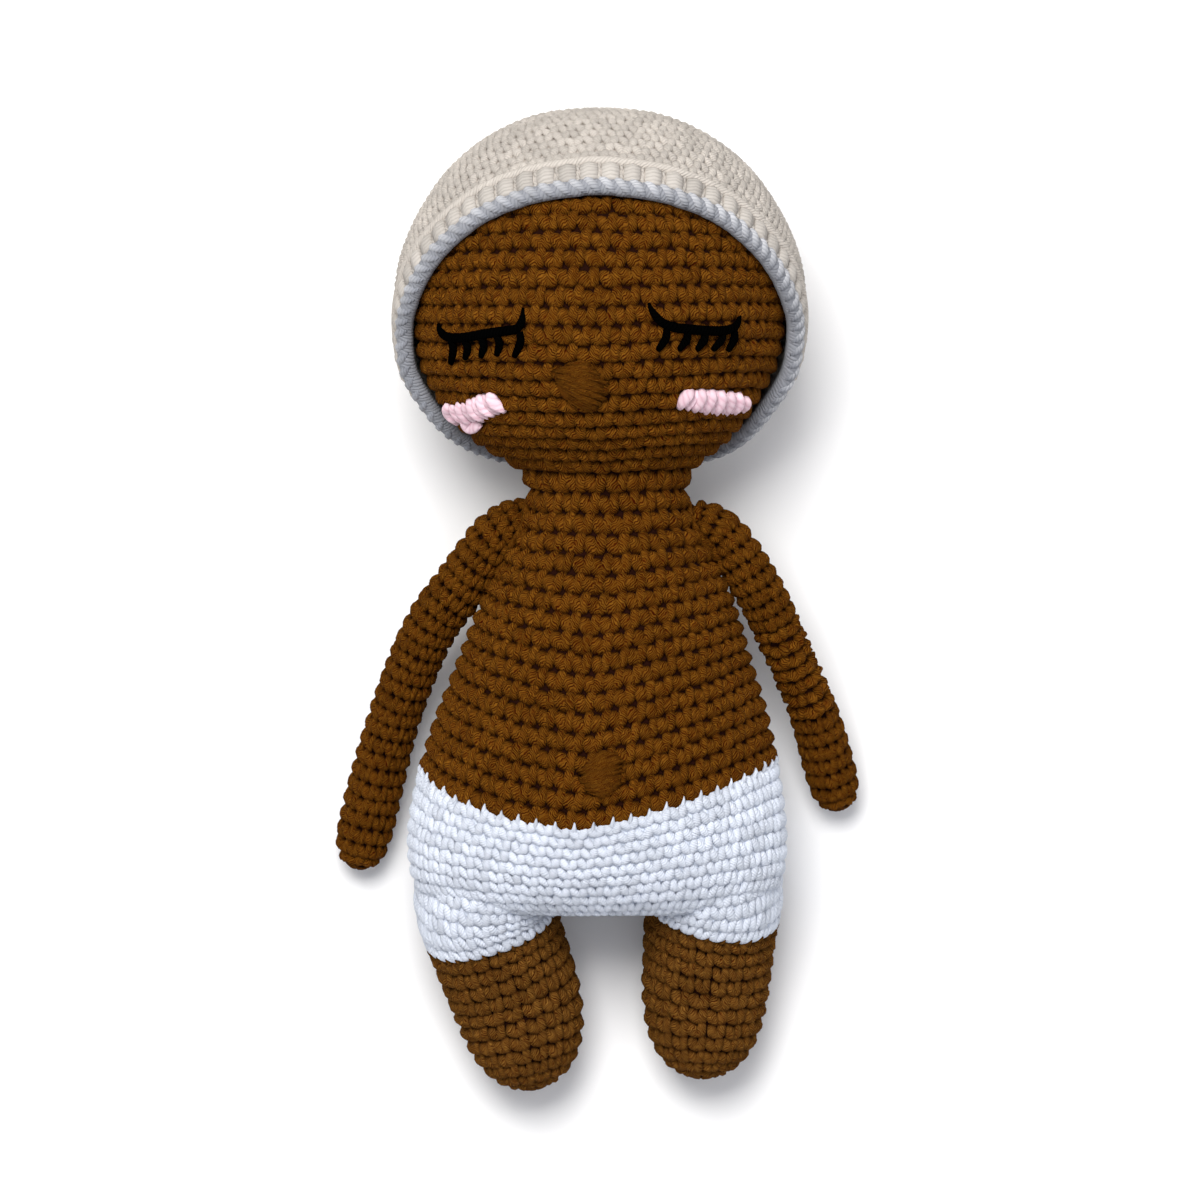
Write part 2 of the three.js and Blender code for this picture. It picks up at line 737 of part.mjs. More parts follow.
const doll = new THREE.Group();
doll.add(
  node('torso_fabric', torsoFabric, yarn.brown),
  node('shorts_fabric', shortsFabric, yarn.white),
  node('body_stuffing', bodyStuffing, yarn.fibre),
  node('navel', bump(bodyForm, navelAside, -navelDrop, navelWidth, navelHeight, navelBulge), yarn.brown),
  ...neckNodes(),
  ...headNodes(),
  node('nose', bump(headForm, noseAside, crown - noseDrop, noseWidth, noseHeight, noseBulge), yarn.brown),
  node('left_eye', eye(leftEyeAside, leftEyeDrop, leftLashShares), yarn.black),
  node('right_eye', eye(rightEyeAside, rightEyeDrop, rightLashShares), yarn.black),
  node('left_cheek', leftCheek, yarn.pink),
  node('right_cheek', rightCheek, yarn.pink),
  ...capNodes(),
  ...arms.flatMap(armNodes),
  ...legs.flatMap(legNodes),
);

// The origin is on the table, under the middle of the doll
const reach = new THREE.Box3().setFromObject(doll);
const middle = reach.getCenter(new THREE.Vector3());
doll.position.set(-middle.x, -middle.y, -reach.min.z);

export default doll;
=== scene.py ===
import bpy
import math
import numpy as np
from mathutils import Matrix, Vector


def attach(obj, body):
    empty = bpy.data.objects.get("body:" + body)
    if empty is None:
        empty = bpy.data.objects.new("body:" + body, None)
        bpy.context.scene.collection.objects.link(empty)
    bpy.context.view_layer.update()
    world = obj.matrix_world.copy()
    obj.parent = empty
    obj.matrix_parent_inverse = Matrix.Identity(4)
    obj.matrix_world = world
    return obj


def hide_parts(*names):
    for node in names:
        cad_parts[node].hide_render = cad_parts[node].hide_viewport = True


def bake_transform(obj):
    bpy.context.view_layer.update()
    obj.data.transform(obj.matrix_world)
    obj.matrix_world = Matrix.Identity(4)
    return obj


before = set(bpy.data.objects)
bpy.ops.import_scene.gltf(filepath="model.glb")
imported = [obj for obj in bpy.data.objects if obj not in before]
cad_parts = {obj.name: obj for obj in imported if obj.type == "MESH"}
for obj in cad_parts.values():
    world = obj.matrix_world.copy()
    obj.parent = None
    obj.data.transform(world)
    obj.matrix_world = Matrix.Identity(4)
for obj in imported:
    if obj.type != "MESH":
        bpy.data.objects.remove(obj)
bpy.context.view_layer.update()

MM = 0.001
# The sizes below are in millimetres from the base of the neck; this is that place in the frame
NECK = np.array([0.576, 26.52, 0.0])
# What differs from stitch to stitch is drawn from here, the same in every run
chance = np.random.default_rng(7)


def place(points):
    """Millimetres from the neck's base, turned into the frame's metres"""
    return (np.asarray(points, float) + NECK) * MM


def srgb(code):
    """An sRGB hex colour in Blender's linear values"""
    parts = [int(code[i:i + 2], 16) / 255 for i in (1, 3, 5)]
    return tuple(c / 12.92 if c <= 0.04045 else ((c + 0.055) / 1.055) ** 2.4 for c in parts) + (1.0,)


def add_node(tree, kind, inputs=None, **settings):
    """Adds a shader node with its settings, its values and its links. A node that is given as a value is
    linked by its first output."""
    made = tree.nodes.new("ShaderNode" + kind)
    for name, value in settings.items():
        setattr(made, name, value)
    for name, value in (inputs or {}).items():
        if isinstance(value, bpy.types.Node):
            value = value.outputs[0]
        if isinstance(value, bpy.types.NodeSocket):
            tree.links.new(value, made.inputs[name])
        else:
            made.inputs[name].default_value = value
    return made


def reckoned(tree, operation, *values):
    """Adds a node that works out one number from others"""
    return add_node(tree, "Math", dict(enumerate(values)), operation=operation)


def mixed_colour(tree, share, low, high):
    """Adds a node that goes over from one colour to another"""
    return add_node(tree, "Mix", {0: share, 6: low, 7: high}, data_type="RGBA").outputs[2]


def new_material(name):
    """A material with no nodes yet, and its node tree"""
    made = bpy.data.materials.new(name)
    made.use_nodes = True
    made.node_tree.nodes.clear()
    return made, made.node_tree


# Camera, straight above the doll
CAMERA_SPOT = (0.00066, -0.0004, 1.5)
SENSOR_MM, LENS_MM = 36, 165.06
NEAREST_SEEN = 0.05

scene = bpy.context.scene
scene.view_settings.view_transform = "Standard"

camera_data = bpy.data.cameras.new("overhead_camera")
camera_data.sensor_width = SENSOR_MM
camera_data.lens = LENS_MM
camera_data.clip_start = NEAREST_SEEN
camera = bpy.data.objects.new("overhead_camera", camera_data)
camera.location = CAMERA_SPOT
scene.collection.objects.link(camera)
scene.camera = camera

# Light: a soft window beyond the head, and the pale room above
DOLL_MIDDLE = (0, 0, 0.03)
ROOM_COLOUR, ROOM_STRENGTH = "#F2F4F8", 0.42
WHITE = (1, 1, 1, 1)


def soft_lamp(name, location, size, power, colour):
    """A square lamp turned towards the doll"""
    data = bpy.data.lights.new(name, "AREA")
    data.size = size
    data.energy = power
    data.color = srgb(colour)[:3]
    lamp = bpy.data.objects.new(name, data)
    lamp.location = location
    lamp.rotation_euler = (Vector(DOLL_MIDDLE) - Vector(location)).to_track_quat("-Z", "Y").to_euler()
    scene.collection.objects.link(lamp)


soft_lamp("window", (-0.14, 0.42, 1.1), size=0.52, power=13.5, colour="#FFFDFA")
soft_lamp("room", (0.2, -0.1, 1.9), size=2.0, power=10.5, colour="#F5F6FF")

# The camera and the reflections see white; what lights the doll from all round is dimmer
world = bpy.data.worlds.new("studio")
world.use_nodes = True
scene.world = world
tree = world.node_tree
tree.nodes.clear()
rays = add_node(tree, "LightPath")
room = add_node(tree, "Background", {"Color": srgb(ROOM_COLOUR), "Strength": ROOM_STRENGTH})
seen = add_node(tree, "Background", {"Color": WHITE, "Strength": 1.0})
direct = reckoned(tree, "MAXIMUM", rays.outputs["Is Camera Ray"], rays.outputs["Is Glossy Ray"])
add_node(tree, "OutputWorld", {"Surface": add_node(tree, "MixShader", {0: direct, 1: room, 2: seen})})

# The sheet under the doll. The lowest stitches stand FLOOR_Z below the frame's own base.
FLOOR_WIDE, FLOOR_Z = 6, -0.0011
LIFT_FROM, LIFT_TO, MOST_LIFT = 0.25, 2.0, 0.6


def matte_paper():
    """Uncoated white paper, without any shine. Away from the lamps it is lifted to the same white as near
    the doll, so that a low view doesn't see it turn grey."""
    paper, tree = new_material("matte white paper")
    shade = add_node(tree, "BsdfDiffuse", {"Color": srgb("#F7F7F7"), "Roughness": 1.0})
    where = add_node(tree, "TexCoord")
    reach = add_node(tree, "VectorMath", {0: where.outputs["Object"]}, operation="LENGTH")
    lifted = add_node(tree, "MapRange", {
        0: reach.outputs["Value"], 1: LIFT_FROM, 2: LIFT_TO, 3: 0.0, 4: MOST_LIFT})
    glow = add_node(tree, "Emission", {"Color": WHITE, "Strength": lifted})
    add_node(tree, "OutputMaterial", {"Surface": add_node(tree, "AddShader", {0: shade, 1: glow})})
    return paper


bpy.ops.object.select_all(action="DESELECT")
bpy.ops.mesh.primitive_plane_add(size=FLOOR_WIDE, location=(0, 0, FLOOR_Z))
floor = bpy.context.object
floor.name = "tabletop"
floor.data.materials.append(matte_paper())

# How yarn is drawn. Its pattern lies in the yarn's own places: once round it, and millimetres along it.
# The plies drift aside in bends nearly 2 mm long
WANDER_SCALE = 0.55
# A loose fibre is half a ply wide and about 2.4 mm long
FIBRE_SCALE, FIBRE_STRETCH = 1.9, 0.22
# A ply is rounder than a sine wave, so the groove beside it is narrow
PLY_SHAPE = 0.6
# Heights between which the groove's colour turns into the strand's
GROOVE_HEIGHT, CREST_HEIGHT = 0.2, 1.25
# Moves the pattern on from one stitch to the next
STITCH_SHIFT = 37.0
DARKEST_STITCH, PALEST_STITCH = 0.88, 1.1
MATT = 0.95
SHEEN_ROUGHNESS = 0.45
RELIEF = 0.9
# The back of the fabric and the filling are tufted, nine tufts to a centimetre and half a millimetre deep
TUFTS_PER_METRE, TUFT_DEPTH = 900.0, 0.0005


def yarn(name, strand, groove, hollow, plies, lay_mm, fuzz=0.5, ply_depth=0.00032, soft=0.1, wander=1.0,
         shine=0.03):
    """Plied yarn. Its plies run round it once in lay_mm along it and wander a little, so they show as
    slanted strokes with a groove between them, and loose fibres lie along each ply. strand, groove and
    hollow are the colours of the plies, between them, and deep between two stitches; groove and hollow are
    painted shade where they are darker than strand, and painted light where they are paler."""
    made, tree = new_material(name)
    split = add_node(tree, "SeparateXYZ", {0: add_node(tree, "UVMap", uv_map="yarn")})
    round_yarn, up_yarn = split.outputs[:2]
    around = reckoned(tree, "MULTIPLY", round_yarn, float(plies))
    straight = reckoned(tree, "MULTIPLY_ADD", up_yarn, -plies / lay_mm, around)
    tone = add_node(tree, "Attribute", attribute_name="tone").outputs["Fac"]
    own = reckoned(tree, "MULTIPLY", tone, STITCH_SHIFT)
    broad = add_node(tree, "CombineXYZ", {0: around, 1: up_yarn, 2: own})
    stray = add_node(tree, "TexNoise", {"Vector": broad, "Scale": WANDER_SCALE, "Detail": 1.0})
    turn = reckoned(tree, "MULTIPLY_ADD", stray, wander, straight)
    sine = reckoned(tree, "SINE", reckoned(tree, "MULTIPLY", turn, math.pi))
    ply_round = reckoned(tree, "POWER", reckoned(tree, "ABSOLUTE", sine), PLY_SHAPE)
    along = reckoned(tree, "MULTIPLY", up_yarn, FIBRE_STRETCH)
    lay = add_node(tree, "CombineXYZ", {0: turn, 1: along, 2: own})
    fibres = add_node(tree, "TexNoise", {
        "Vector": lay, "Scale": FIBRE_SCALE, "Detail": 2.0, "Roughness": 0.55})
    height = reckoned(tree, "MULTIPLY_ADD", fibres, fuzz, ply_round)
    bump = add_node(tree, "Bump", {"Height": height, "Strength": RELIEF, "Distance": ply_depth})
    fibre_height = 0.5 * fuzz
    # The groove's colour is painted shade, laid in the low places of the ply pattern
    shade_low = add_node(tree, "MapRange", {
        0: height, 1: fibre_height + GROOVE_HEIGHT, 2: fibre_height + CREST_HEIGHT})
    cloth = mixed_colour(tree, shade_low, srgb(groove), srgb(strand))
    # rise is 0 deep in the fabric, where the hollow colour is mixed in: painted shade, and on the white yarns
    # painted light
    rise = add_node(tree, "Attribute", attribute_name="rise").outputs["Fac"]
    each = add_node(tree, "MapRange", {0: tone, 3: DARKEST_STITCH, 4: PALEST_STITCH})
    toned = add_node(tree, "HueSaturation", {
        "Value": each, "Color": mixed_colour(tree, rise, srgb(hollow), cloth)})
    body = add_node(tree, "BsdfPrincipled", {
        "Base Color": toned, "Roughness": MATT, "Specular IOR Level": shine, "Sheen Weight": soft,
        "Sheen Roughness": SHEEN_ROUGHNESS, "Sheen Tint": srgb(strand), "Normal": bump})
    add_node(tree, "OutputMaterial", {"Surface": body})
    return made


def tufted(name, pale, dark):
    """Fibre without a direction, as on the back of the fabric and in the filling"""
    made, tree = new_material(name)
    where = add_node(tree, "TexCoord")
    fluff = add_node(tree, "TexNoise", {
        "Vector": where.outputs["Object"], "Scale": TUFTS_PER_METRE, "Detail": 3.0})
    bump = add_node(tree, "Bump", {"Height": fluff, "Distance": TUFT_DEPTH})
    body = add_node(tree, "BsdfPrincipled", {
        "Base Color": mixed_colour(tree, fluff, srgb(dark), srgb(pale)), "Roughness": MATT,
        "Specular IOR Level": 0.1, "Normal": bump})
    add_node(tree, "OutputMaterial", {"Surface": body})
    return made


# Acrylic yarn spun from many thin plies. Its fibres scatter the light, so it shows no shine, only fine
# slanting strokes. Painted shade makes it dark between the plies and nearly black between the stitches.
brown_spin = {"plies": 12, "lay_mm": 9.0, "fuzz": 2.4, "ply_depth": 0.00034, "wander": 2.5, "shine": 0.02}
brown_yarn = yarn("acrylic yarn, brown", "#7B4E14", "#3C1000", "#170400", soft=0.0, **brown_spin)
# The same yarn, drawn paler on the legs, with a little sheen and the same painted shade between plies and
# stitches
leg_yarn = yarn("acrylic yarn, brown, paler", "#845A25", "#401802", "#1C0700", soft=0.02, **brown_spin)
# Combed cotton, tightly plied: smooth, matt and bright, with faint painted shade between its plies. Its
# hollows are painted paler than its plies, painted light for the light that one stitch throws on the next.
cotton_spin = {"fuzz": 1.2, "ply_depth": 0.0002}
white_yarn = yarn("cotton yarn, white", "#DCE1EB", "#CFD6E3", "#E4EAF4", 6, 6.0, **cotton_spin)
# Undyed cotton, warmer and duller than the shorts, with faint painted shade between its plies
cap_yarn = yarn("cotton yarn, off-white", "#C1BAB2", "#B3ACA4", "#C0B9B1", 6, 6.0, **cotton_spin)
# Threads that lie side by side round each raised stitch, with painted shade between the stitches
block_yarn = yarn("cotton yarn, off-white, wrapped", "#BEB8B1", "#AFA9A2", "#928C85", 2, 1.7, fuzz=0.8,
                  ply_depth=0.00018)
# Five plies corded hard. The edge's yarn is painted cooler and greyer than the bonnet's, as painted shade
# where the corded edge turns from the light, darkest in its hollows
edge_yarn_painted_shade = yarn("cotton yarn, off-white, corded", "#C3C3C6", "#AAACB1", "#83868E", 5, 5.0, **cotton_spin)
# Three soft plies with painted mauve shade where one strand meets the next
pink_yarn = yarn("cotton yarn, pink", "#EFD4DD", "#DDB5C1", "#B98794", 3, 6.0, fuzz=0.8, ply_depth=0.0001)
# Dull black thread that gives back almost no light
black_thread = yarn("embroidery thread, black", "#030303", "#020202", "#010101", 3, 3.0, soft=0.0, shine=0.0)
# The back of each fabric shows only through the holes between its stitches. The brown back is painted near
# black, as painted shade; the white back is painted paler than its yarn, as painted light; the bonnet's back
# keeps about its yarn's colour.
brown_back_painted_shade = tufted("back of the brown fabric", "#260A02", "#120400")
cap_back = tufted("back of the bonnet's fabric", "#C4BDB6", "#AFA8A1")
white_back_painted_light = tufted("back of the white fabric", "#E4EAF4", "#D5DCE8")
# Carded polyester: loose, white and without shine
fibre_fill = tufted("polyester fibre filling", "#F2F2EE", "#D8D8D2")


# Lines and directions
def smooth_rows(knots, count=900):
    """A smooth curve through rows of numbers, as many rows as asked"""
    rows = np.asarray(knots, float)
    ends = np.vstack([2 * rows[0] - rows[1], rows, 2 * rows[-1] - rows[-2]])
    t = np.linspace(0, len(rows) - 1 - 1e-9, count)
    i = t.astype(int)
    f = (t - i)[:, None]
    a, b, c, d = ends[i], ends[i + 1], ends[i + 2], ends[i + 3]
    return 0.5 * ((2 * b) + (c - a) * f + (2 * a - 5 * b + 4 * c - d) * f ** 2
                  + (3 * b - a - 3 * c + d) * f ** 3)


def run_along(points):
    """How far along a line each of its points lies"""
    return np.concatenate([[0], np.cumsum(np.linalg.norm(np.diff(points, axis=0), axis=1))])


def line_at(line, run, at):
    """The places on a line at some distances along it"""
    return np.stack([np.interp(at, run, line[:, k]) for k in range(3)], -1)


def directions(vectors):
    """The same directions, each of length one"""
    return vectors / np.maximum(np.linalg.norm(vectors, axis=-1, keepdims=True), 1e-12)


def length_of(ring):
    """How long a closed round is"""
    return np.linalg.norm(ring - np.roll(ring, -1, 0), axis=1).sum()


# The trunk's form: the head, from its crown down to the neck, and the body, from the neck down to the
# hips, each with its length, half width and half depth. A row of shares is the share of the length from
# the top, then those of the half width and half depth there. A row of middles is the share of the length,
# then the middle's x and z.
HEAD_LONG, HEAD_WIDE, HEAD_DEEP, CROWN = 92.5, 49.0, 48.0, 98.5
HEAD_MIDDLE = np.array([-0.3, 50.03, 52.5])
BODY_LONG, BODY_WIDE, BODY_DEEP = 111.0, 49.8, 37.5
head_shares = smooth_rows([
    (0, 0, 0), (0.018, 0.26, 0.26), (0.07, 0.5, 0.5), (0.153, 0.71, 0.71), (0.262, 0.866, 0.866),
    (0.388, 0.966, 0.966), (0.524, 1, 1), (0.62, 0.99, 0.985), (0.7, 0.955, 0.95), (0.775, 0.88, 0.875),
    (0.85, 0.785, 0.78), (0.91, 0.675, 0.67), (0.96, 0.54, 0.535), (1, 0.435, 0.43)])
head_middles = smooth_rows([(0, -0.2, 52.5), (0.5, 0, 52.5), (0.7, -0.3, 52.0), (0.82, -0.4, 51.2),
                            (0.93, 0.7, 49.3), (1, 1.9, 47.5)], 300)
body_shares = smooth_rows([
    (0, 0.43, 0.535), (0.06, 0.468, 0.56), (0.172, 0.61, 0.68), (0.28, 0.71, 0.78), (0.4, 0.8, 0.87),
    (0.52, 0.893, 0.93), (0.63, 0.957, 0.976), (0.73, 1, 1), (0.8, 1.016, 0.965), (0.87, 1.01, 0.88),
    (0.93, 0.975, 0.74), (0.975, 0.87, 0.56), (1, 0.62, 0.34)])
body_middles = smooth_rows([
    (0, 2.1, 45.5), (0.17, 2.3, 40.5), (0.4, 1.2, 37.6), (0.52, 0.6, 37), (0.63, -0.1, 37), (0.8, -0.7, 36.7),
    (1, -0.4, 36.2)], 300)
# How far down the front each round sags, from its left side, -1, to its right side, 1
sag = smooth_rows([
    (-1, 0), (-0.9, 0.26), (-0.7, 0.55), (-0.5, 0.75), (-0.3, 0.9), (-0.1, 1), (0.1, 0.89), (0.3, 0.73),
    (0.54, 0.52), (0.8, 0.25), (0.9, 0.12), (1, 0)], 200)
# The rounds rise a little to the right, and their backs rise in a narrow bow
RIGHT_RISE, BACK_BOW = 0.054, 2.4
SETTLE_STEPS, SETTLE_SHARE = 14, 0.6

ROUND_POINTS = 240
turns = np.linspace(0, 2 * math.pi, ROUND_POINTS, endpoint=False) - math.pi / 2


def trunk_profile():
    """Rows of (y, middle x, middle z, half width, half depth) from the hips up to the crown"""
    rows = []
    for outline, middles, top, long, half_wide, half_deep in (
            (body_shares, body_middles, 0, BODY_LONG, BODY_WIDE, BODY_DEEP),
            (head_shares, head_middles, CROWN, HEAD_LONG, HEAD_WIDE, HEAD_DEEP)):
        for along, wide, deep in outline[::-1]:
            rows.append((top - along * long,
                         np.interp(along, middles[:, 0], middles[:, 1]),
                         np.interp(along, middles[:, 0], middles[:, 2]),
                         wide * half_wide, deep * half_deep))
    rows = np.array(rows)
    # Every row is a little higher than the last, so that it can be looked up by its height
    rows[:, 0] = np.maximum.accumulate(rows[:, 0] + np.arange(len(rows)) * 1e-7)
    return rows


trunk = trunk_profile()


def trunk_at(y):
    """The trunk's middle x and z, half width and half depth at a height"""
    return [np.interp(y, trunk[:, 0], trunk[:, k]) for k in (1, 2, 3, 4)]


def trunk_ring(side_y, tilt, angles=turns):
    """One round of the trunk. tilt is how far its front lies below its sides, in radians; it hangs
    lowest a little to the left of the navel."""
    y = np.full(len(angles), float(side_y))
    rise = np.sin(angles)
    share = np.where(rise > 0, np.interp(np.cos(angles), sag[:, 0], sag[:, 1]), -np.abs(rise) ** BACK_BOW)
    for _ in range(SETTLE_STEPS):
        x_mid, z_mid, wide, deep = trunk_at(y)
        higher = RIGHT_RISE * tilt * wide * np.cos(angles)
        y = (1 - SETTLE_SHARE) * y + SETTLE_SHARE * (side_y - math.tan(tilt) * deep * share + higher)
    x_mid, z_mid, wide, deep = trunk_at(y)
    return np.stack([x_mid + wide * np.cos(angles), y, z_mid + deep * np.sin(angles)], 1)


def evened(ring, count=ROUND_POINTS):
    """The same closed round with its points at even steps"""
    closed = np.vstack([ring, ring[:1]])
    steps = run_along(closed)
    return line_at(closed, steps, np.linspace(0, steps[-1], count, endpoint=False))


class Rounds:
    """A stack of rounds of fabric, worked from the first to the last. stitch_mm is how wide a stitch is
    and drift how far each round's stitches start past those below, in stitches; either may be a function
    of the row."""

    def __init__(self, rings, stitch_mm, drift=0.0, tidy=True):
        self.rings = np.array([evened(r) if tidy else r for r in rings])
        out = self.outwards()
        if (out * (self.rings - self.rings.mean(1, keepdims=True))).sum() < 0:
            self.rings = np.roll(self.rings[:, ::-1], 1, axis=1)
            out = self.outwards()
        for _ in range(2):
            out = directions(out)
            # A first round drawn together in one point takes its direction from the next
            out[0] += 0.001 * out[min(1, len(out) - 1)]
        self.out = directions(out)
        self.rows = len(self.rings) - 1
        lengths = [0.5 * (length_of(self.rings[k]) + length_of(self.rings[k + 1])) for k in range(self.rows)]
        # Rounds grow and shrink by sixes
        self.counts = [max(6, 6 * round(long / (stitch_mm(k) if callable(stitch_mm) else stitch_mm) / 6))
                       for k, long in enumerate(lengths)]
        self.widths = [long / count for long, count in zip(lengths, self.counts)]
        self.phases = [0.0]
        for k in range(1, self.rows):
            step = drift(k) if callable(drift) else drift
            self.phases.append(self.phases[-1] * self.counts[k] / self.counts[k - 1] + step)

    def outwards(self):
        """Directions out of the fabric, or into it where the rounds turn the other way"""
        across = np.roll(self.rings, -1, 1) - np.roll(self.rings, 1, 1)
        return np.cross(across, np.gradient(self.rings, axis=0))

    def point(self, u, v, height=0.0):
        """Places at shares u round the fabric, v rows up it and some millimetres out of it"""
        total = self.rings.shape[1]
        at = (u % 1.0) * total
        i = np.floor(at).astype(int)
        f = (at - i)[..., None]
        i, j = i % total, (i + 1) % total
        k = np.clip(np.floor(v).astype(int), 0, self.rows - 1)
        g = (v - k)[..., None]
        low, high, low_out, high_out = (values[row, i] * (1 - f) + values[row, j] * f
                                        for values in (self.rings, self.out) for row in (k, k + 1))
        h = np.clip(g, 0, 1)
        out = directions(low_out * (1 - h) + high_out * h)
        return low * (1 - g) + high * g + out * np.asarray(height)[..., None]


# Stitches and meshes
# A stitch is drawn for this width and height of its place, then fitted to each place in the fabric
STITCH_WIDE, ROW_TALL = 5.4, 5.2
YARN_SIDES = 6
# The most that one stitch differs from the next, before the fabric's own untidiness: in its width, its
# place across and up, its thickness and its lean
WOBBLE, WOBBLE_SHARES = 1.7, (1, 0.7, 1, 1, 0.8)
SWELL = 1.5
# Yarn this deep in the fabric takes the hollow colour in full, painted shade (on the white yarns painted
# light), which is gone a little further out
SHADE_DEPTH, SHADE_SPAN = 2.4, 1.3


def drawn_yarn(stations):
    """One length of yarn in a stitch, drawn out from station to station, each one
    (across in stitch widths, up in rows, out in mm, half width in stitch widths, half thickness in mm)"""
    bpy.ops.object.select_all(action="DESELECT")
    bpy.ops.mesh.primitive_circle_add(vertices=YARN_SIDES, radius=1.0, location=(0, 0, 0))
    drawn = bpy.context.object
    bpy.ops.object.mode_set(mode="EDIT")
    bpy.ops.mesh.select_all(action="SELECT")
    bpy.ops.transform.rotate(value=math.pi / 2, orient_axis="X", center_override=(0, 0, 0))
    x, y, z, wide, thick = stations[0]
    bpy.ops.transform.resize(value=(wide, 1, thick), center_override=(0, 0, 0))
    bpy.ops.transform.translate(value=(x, y, z))
    bpy.ops.mesh.edge_face_add()
    for nx, ny, nz, nwide, nthick in stations[1:]:
        bpy.ops.mesh.extrude_region_move(TRANSFORM_OT_translate={"value": (nx - x, ny - y, nz - z)})
        bpy.ops.transform.resize(value=(nwide / wide, 1, nthick / thick), center_override=(nx, ny, nz))
        x, y, z, wide, thick = nx, ny, nz, nwide, nthick
    bpy.ops.mesh.select_all(action="SELECT")
    bpy.ops.mesh.normals_make_consistent(inside=False)
    bpy.ops.object.mode_set(mode="OBJECT")
    points = np.array([v.co[:] for v in drawn.data.vertices])
    faces = [list(p.vertices) for p in drawn.data.polygons]
    bpy.data.objects.remove(drawn, do_unlink=True)
    rows = np.array(stations, float)
    station = np.abs(points[:, 1:2] - rows[None, :, 1]).argmin(1)
    near = rows[station]
    around = np.arctan2((points[:, 2] - near[:, 2]) / near[:, 4], (points[:, 0] - near[:, 0]) / near[:, 3])
    return points, faces, (around / (2 * math.pi)) % 1.0, station, rows


def unit_of(lengths):
    """Joins the lengths of yarn of one stitch: its points, faces and the yarn's own places. The plies of
    the first length lean one way and those of the second the other way."""
    points, faces, corner_places = [], [], []
    base = 0
    for turned, stations in enumerate(lengths):
        own, own_faces, around, station, rows = drawn_yarn(stations)
        run = run_along(rows[:, :3] * (STITCH_WIDE, ROW_TALL, 1.0))
        for face in own_faces:
            a = around[face]
            if a.max() - a.min() > 0.5:
                a = np.where(a < 0.5, a + 1, a)
            a = a if turned else 1 - a
            corner_places.append(np.stack([a, run[station[face]]], 1))
            faces.append([base + v for v in face])
        points.append(own)
        base += len(own)
    return {"points": np.vstack(points), "faces": faces, "places": np.vstack(corner_places)}


def stitched(rounds, unit, rows=None, keep=None, size=1.0, untidy=0.04):
    """Works a stitch at every place of the rounds. keep(points) says which stitches are made."""
    nv = len(unit["points"])
    unit_loops = np.concatenate([np.array(f) for f in unit["faces"]])
    unit_sizes = np.array([len(f) for f in unit["faces"]])
    # How far each point of a stitch is out of the painted shade of the hollows
    unit_rise = np.clip((unit["points"][:, 2] + SHADE_DEPTH) / SHADE_SPAN, 0, 1)
    all_points, all_loops, all_tone, made = [], [], [], 0
    for row in (range(rounds.rows) if rows is None else rows):
        count, width = rounds.counts[row], rounds.widths[row]
        starts = (np.arange(count) + 0.5 + rounds.phases[row]) / count
        if keep is not None:
            starts = starts[keep(rounds.point(starts, np.full(count, row + 0.5)))]
        if not len(starts):
            continue
        n = len(starts)
        scale = size * width / STITCH_WIDE
        wobble = chance.uniform(-WOBBLE, WOBBLE, (n, 5)) * untidy * WOBBLE_SHARES
        x = (unit["points"][None, :, 0] * (1 + wobble[:, :1]) + wobble[:, 1:2]
             + wobble[:, 4:] * (unit["points"][None, :, 1] - 0.5))
        y = unit["points"][None, :, 1] + wobble[:, 2:3]
        z = unit["points"][None, :, 2] * scale * (1 + SWELL * wobble[:, 3:4])
        spots = rounds.point(starts[:, None] + x / count, row + y, z)
        all_points.append(spots.reshape(-1, 3))
        all_loops.append((unit_loops[None] + nv * (made + np.arange(n))[:, None]).ravel())
        all_tone.append(np.repeat(chance.random(n), nv))
        made += n
    return (np.vstack(all_points), np.concatenate(all_loops), np.tile(unit_sizes, made),
            np.tile(unit["places"], (made, 1)), np.concatenate(all_tone), np.tile(unit_rise, made))


def closed_tube(rings):
    """The points and faces of a tube through rings of points, closed at both ends"""
    around = len(rings[0])
    loops, sizes = [], []
    for k in range(len(rings) - 1):
        for i in range(around):
            j = (i + 1) % around
            loops += [k * around + i, k * around + j, (k + 1) * around + j, (k + 1) * around + i]
            sizes.append(4)
    loops += list(range(around))[::-1]
    loops += list(range((len(rings) - 1) * around, len(rings) * around))
    sizes += [around, around]
    return np.vstack(rings), np.array(loops), np.array(sizes)


def skin_of(rounds, height, rows=None, around=72):
    """A closed skin under the stitches of some rounds"""
    rows = range(rounds.rows) if rows is None else rows
    u = np.arange(around) / around
    return closed_tube([rounds.point(u, np.full(around, float(k)), np.full(around, height))
                        for k in range(rows.start, rows.stop + 1)])


def join(parts):
    """Joins sets of points, loops, sizes, and perhaps places, tone and rise, each with the number of its
    material, into one"""
    joined = [[] for _ in range(7)]
    base = 0
    for kind, (points, loops, sizes, *drawn) in parts:
        places, tone, rise = drawn or (np.zeros((len(loops), 2)), np.full(len(points), 0.5),
                                       np.ones(len(points)))
        for column, values in zip(joined, (points, loops + base, sizes, places, tone, rise,
                                           np.full(len(sizes), kind))):
            column.append(values)
        base += len(points)
    return [np.concatenate(column) for column in joined]


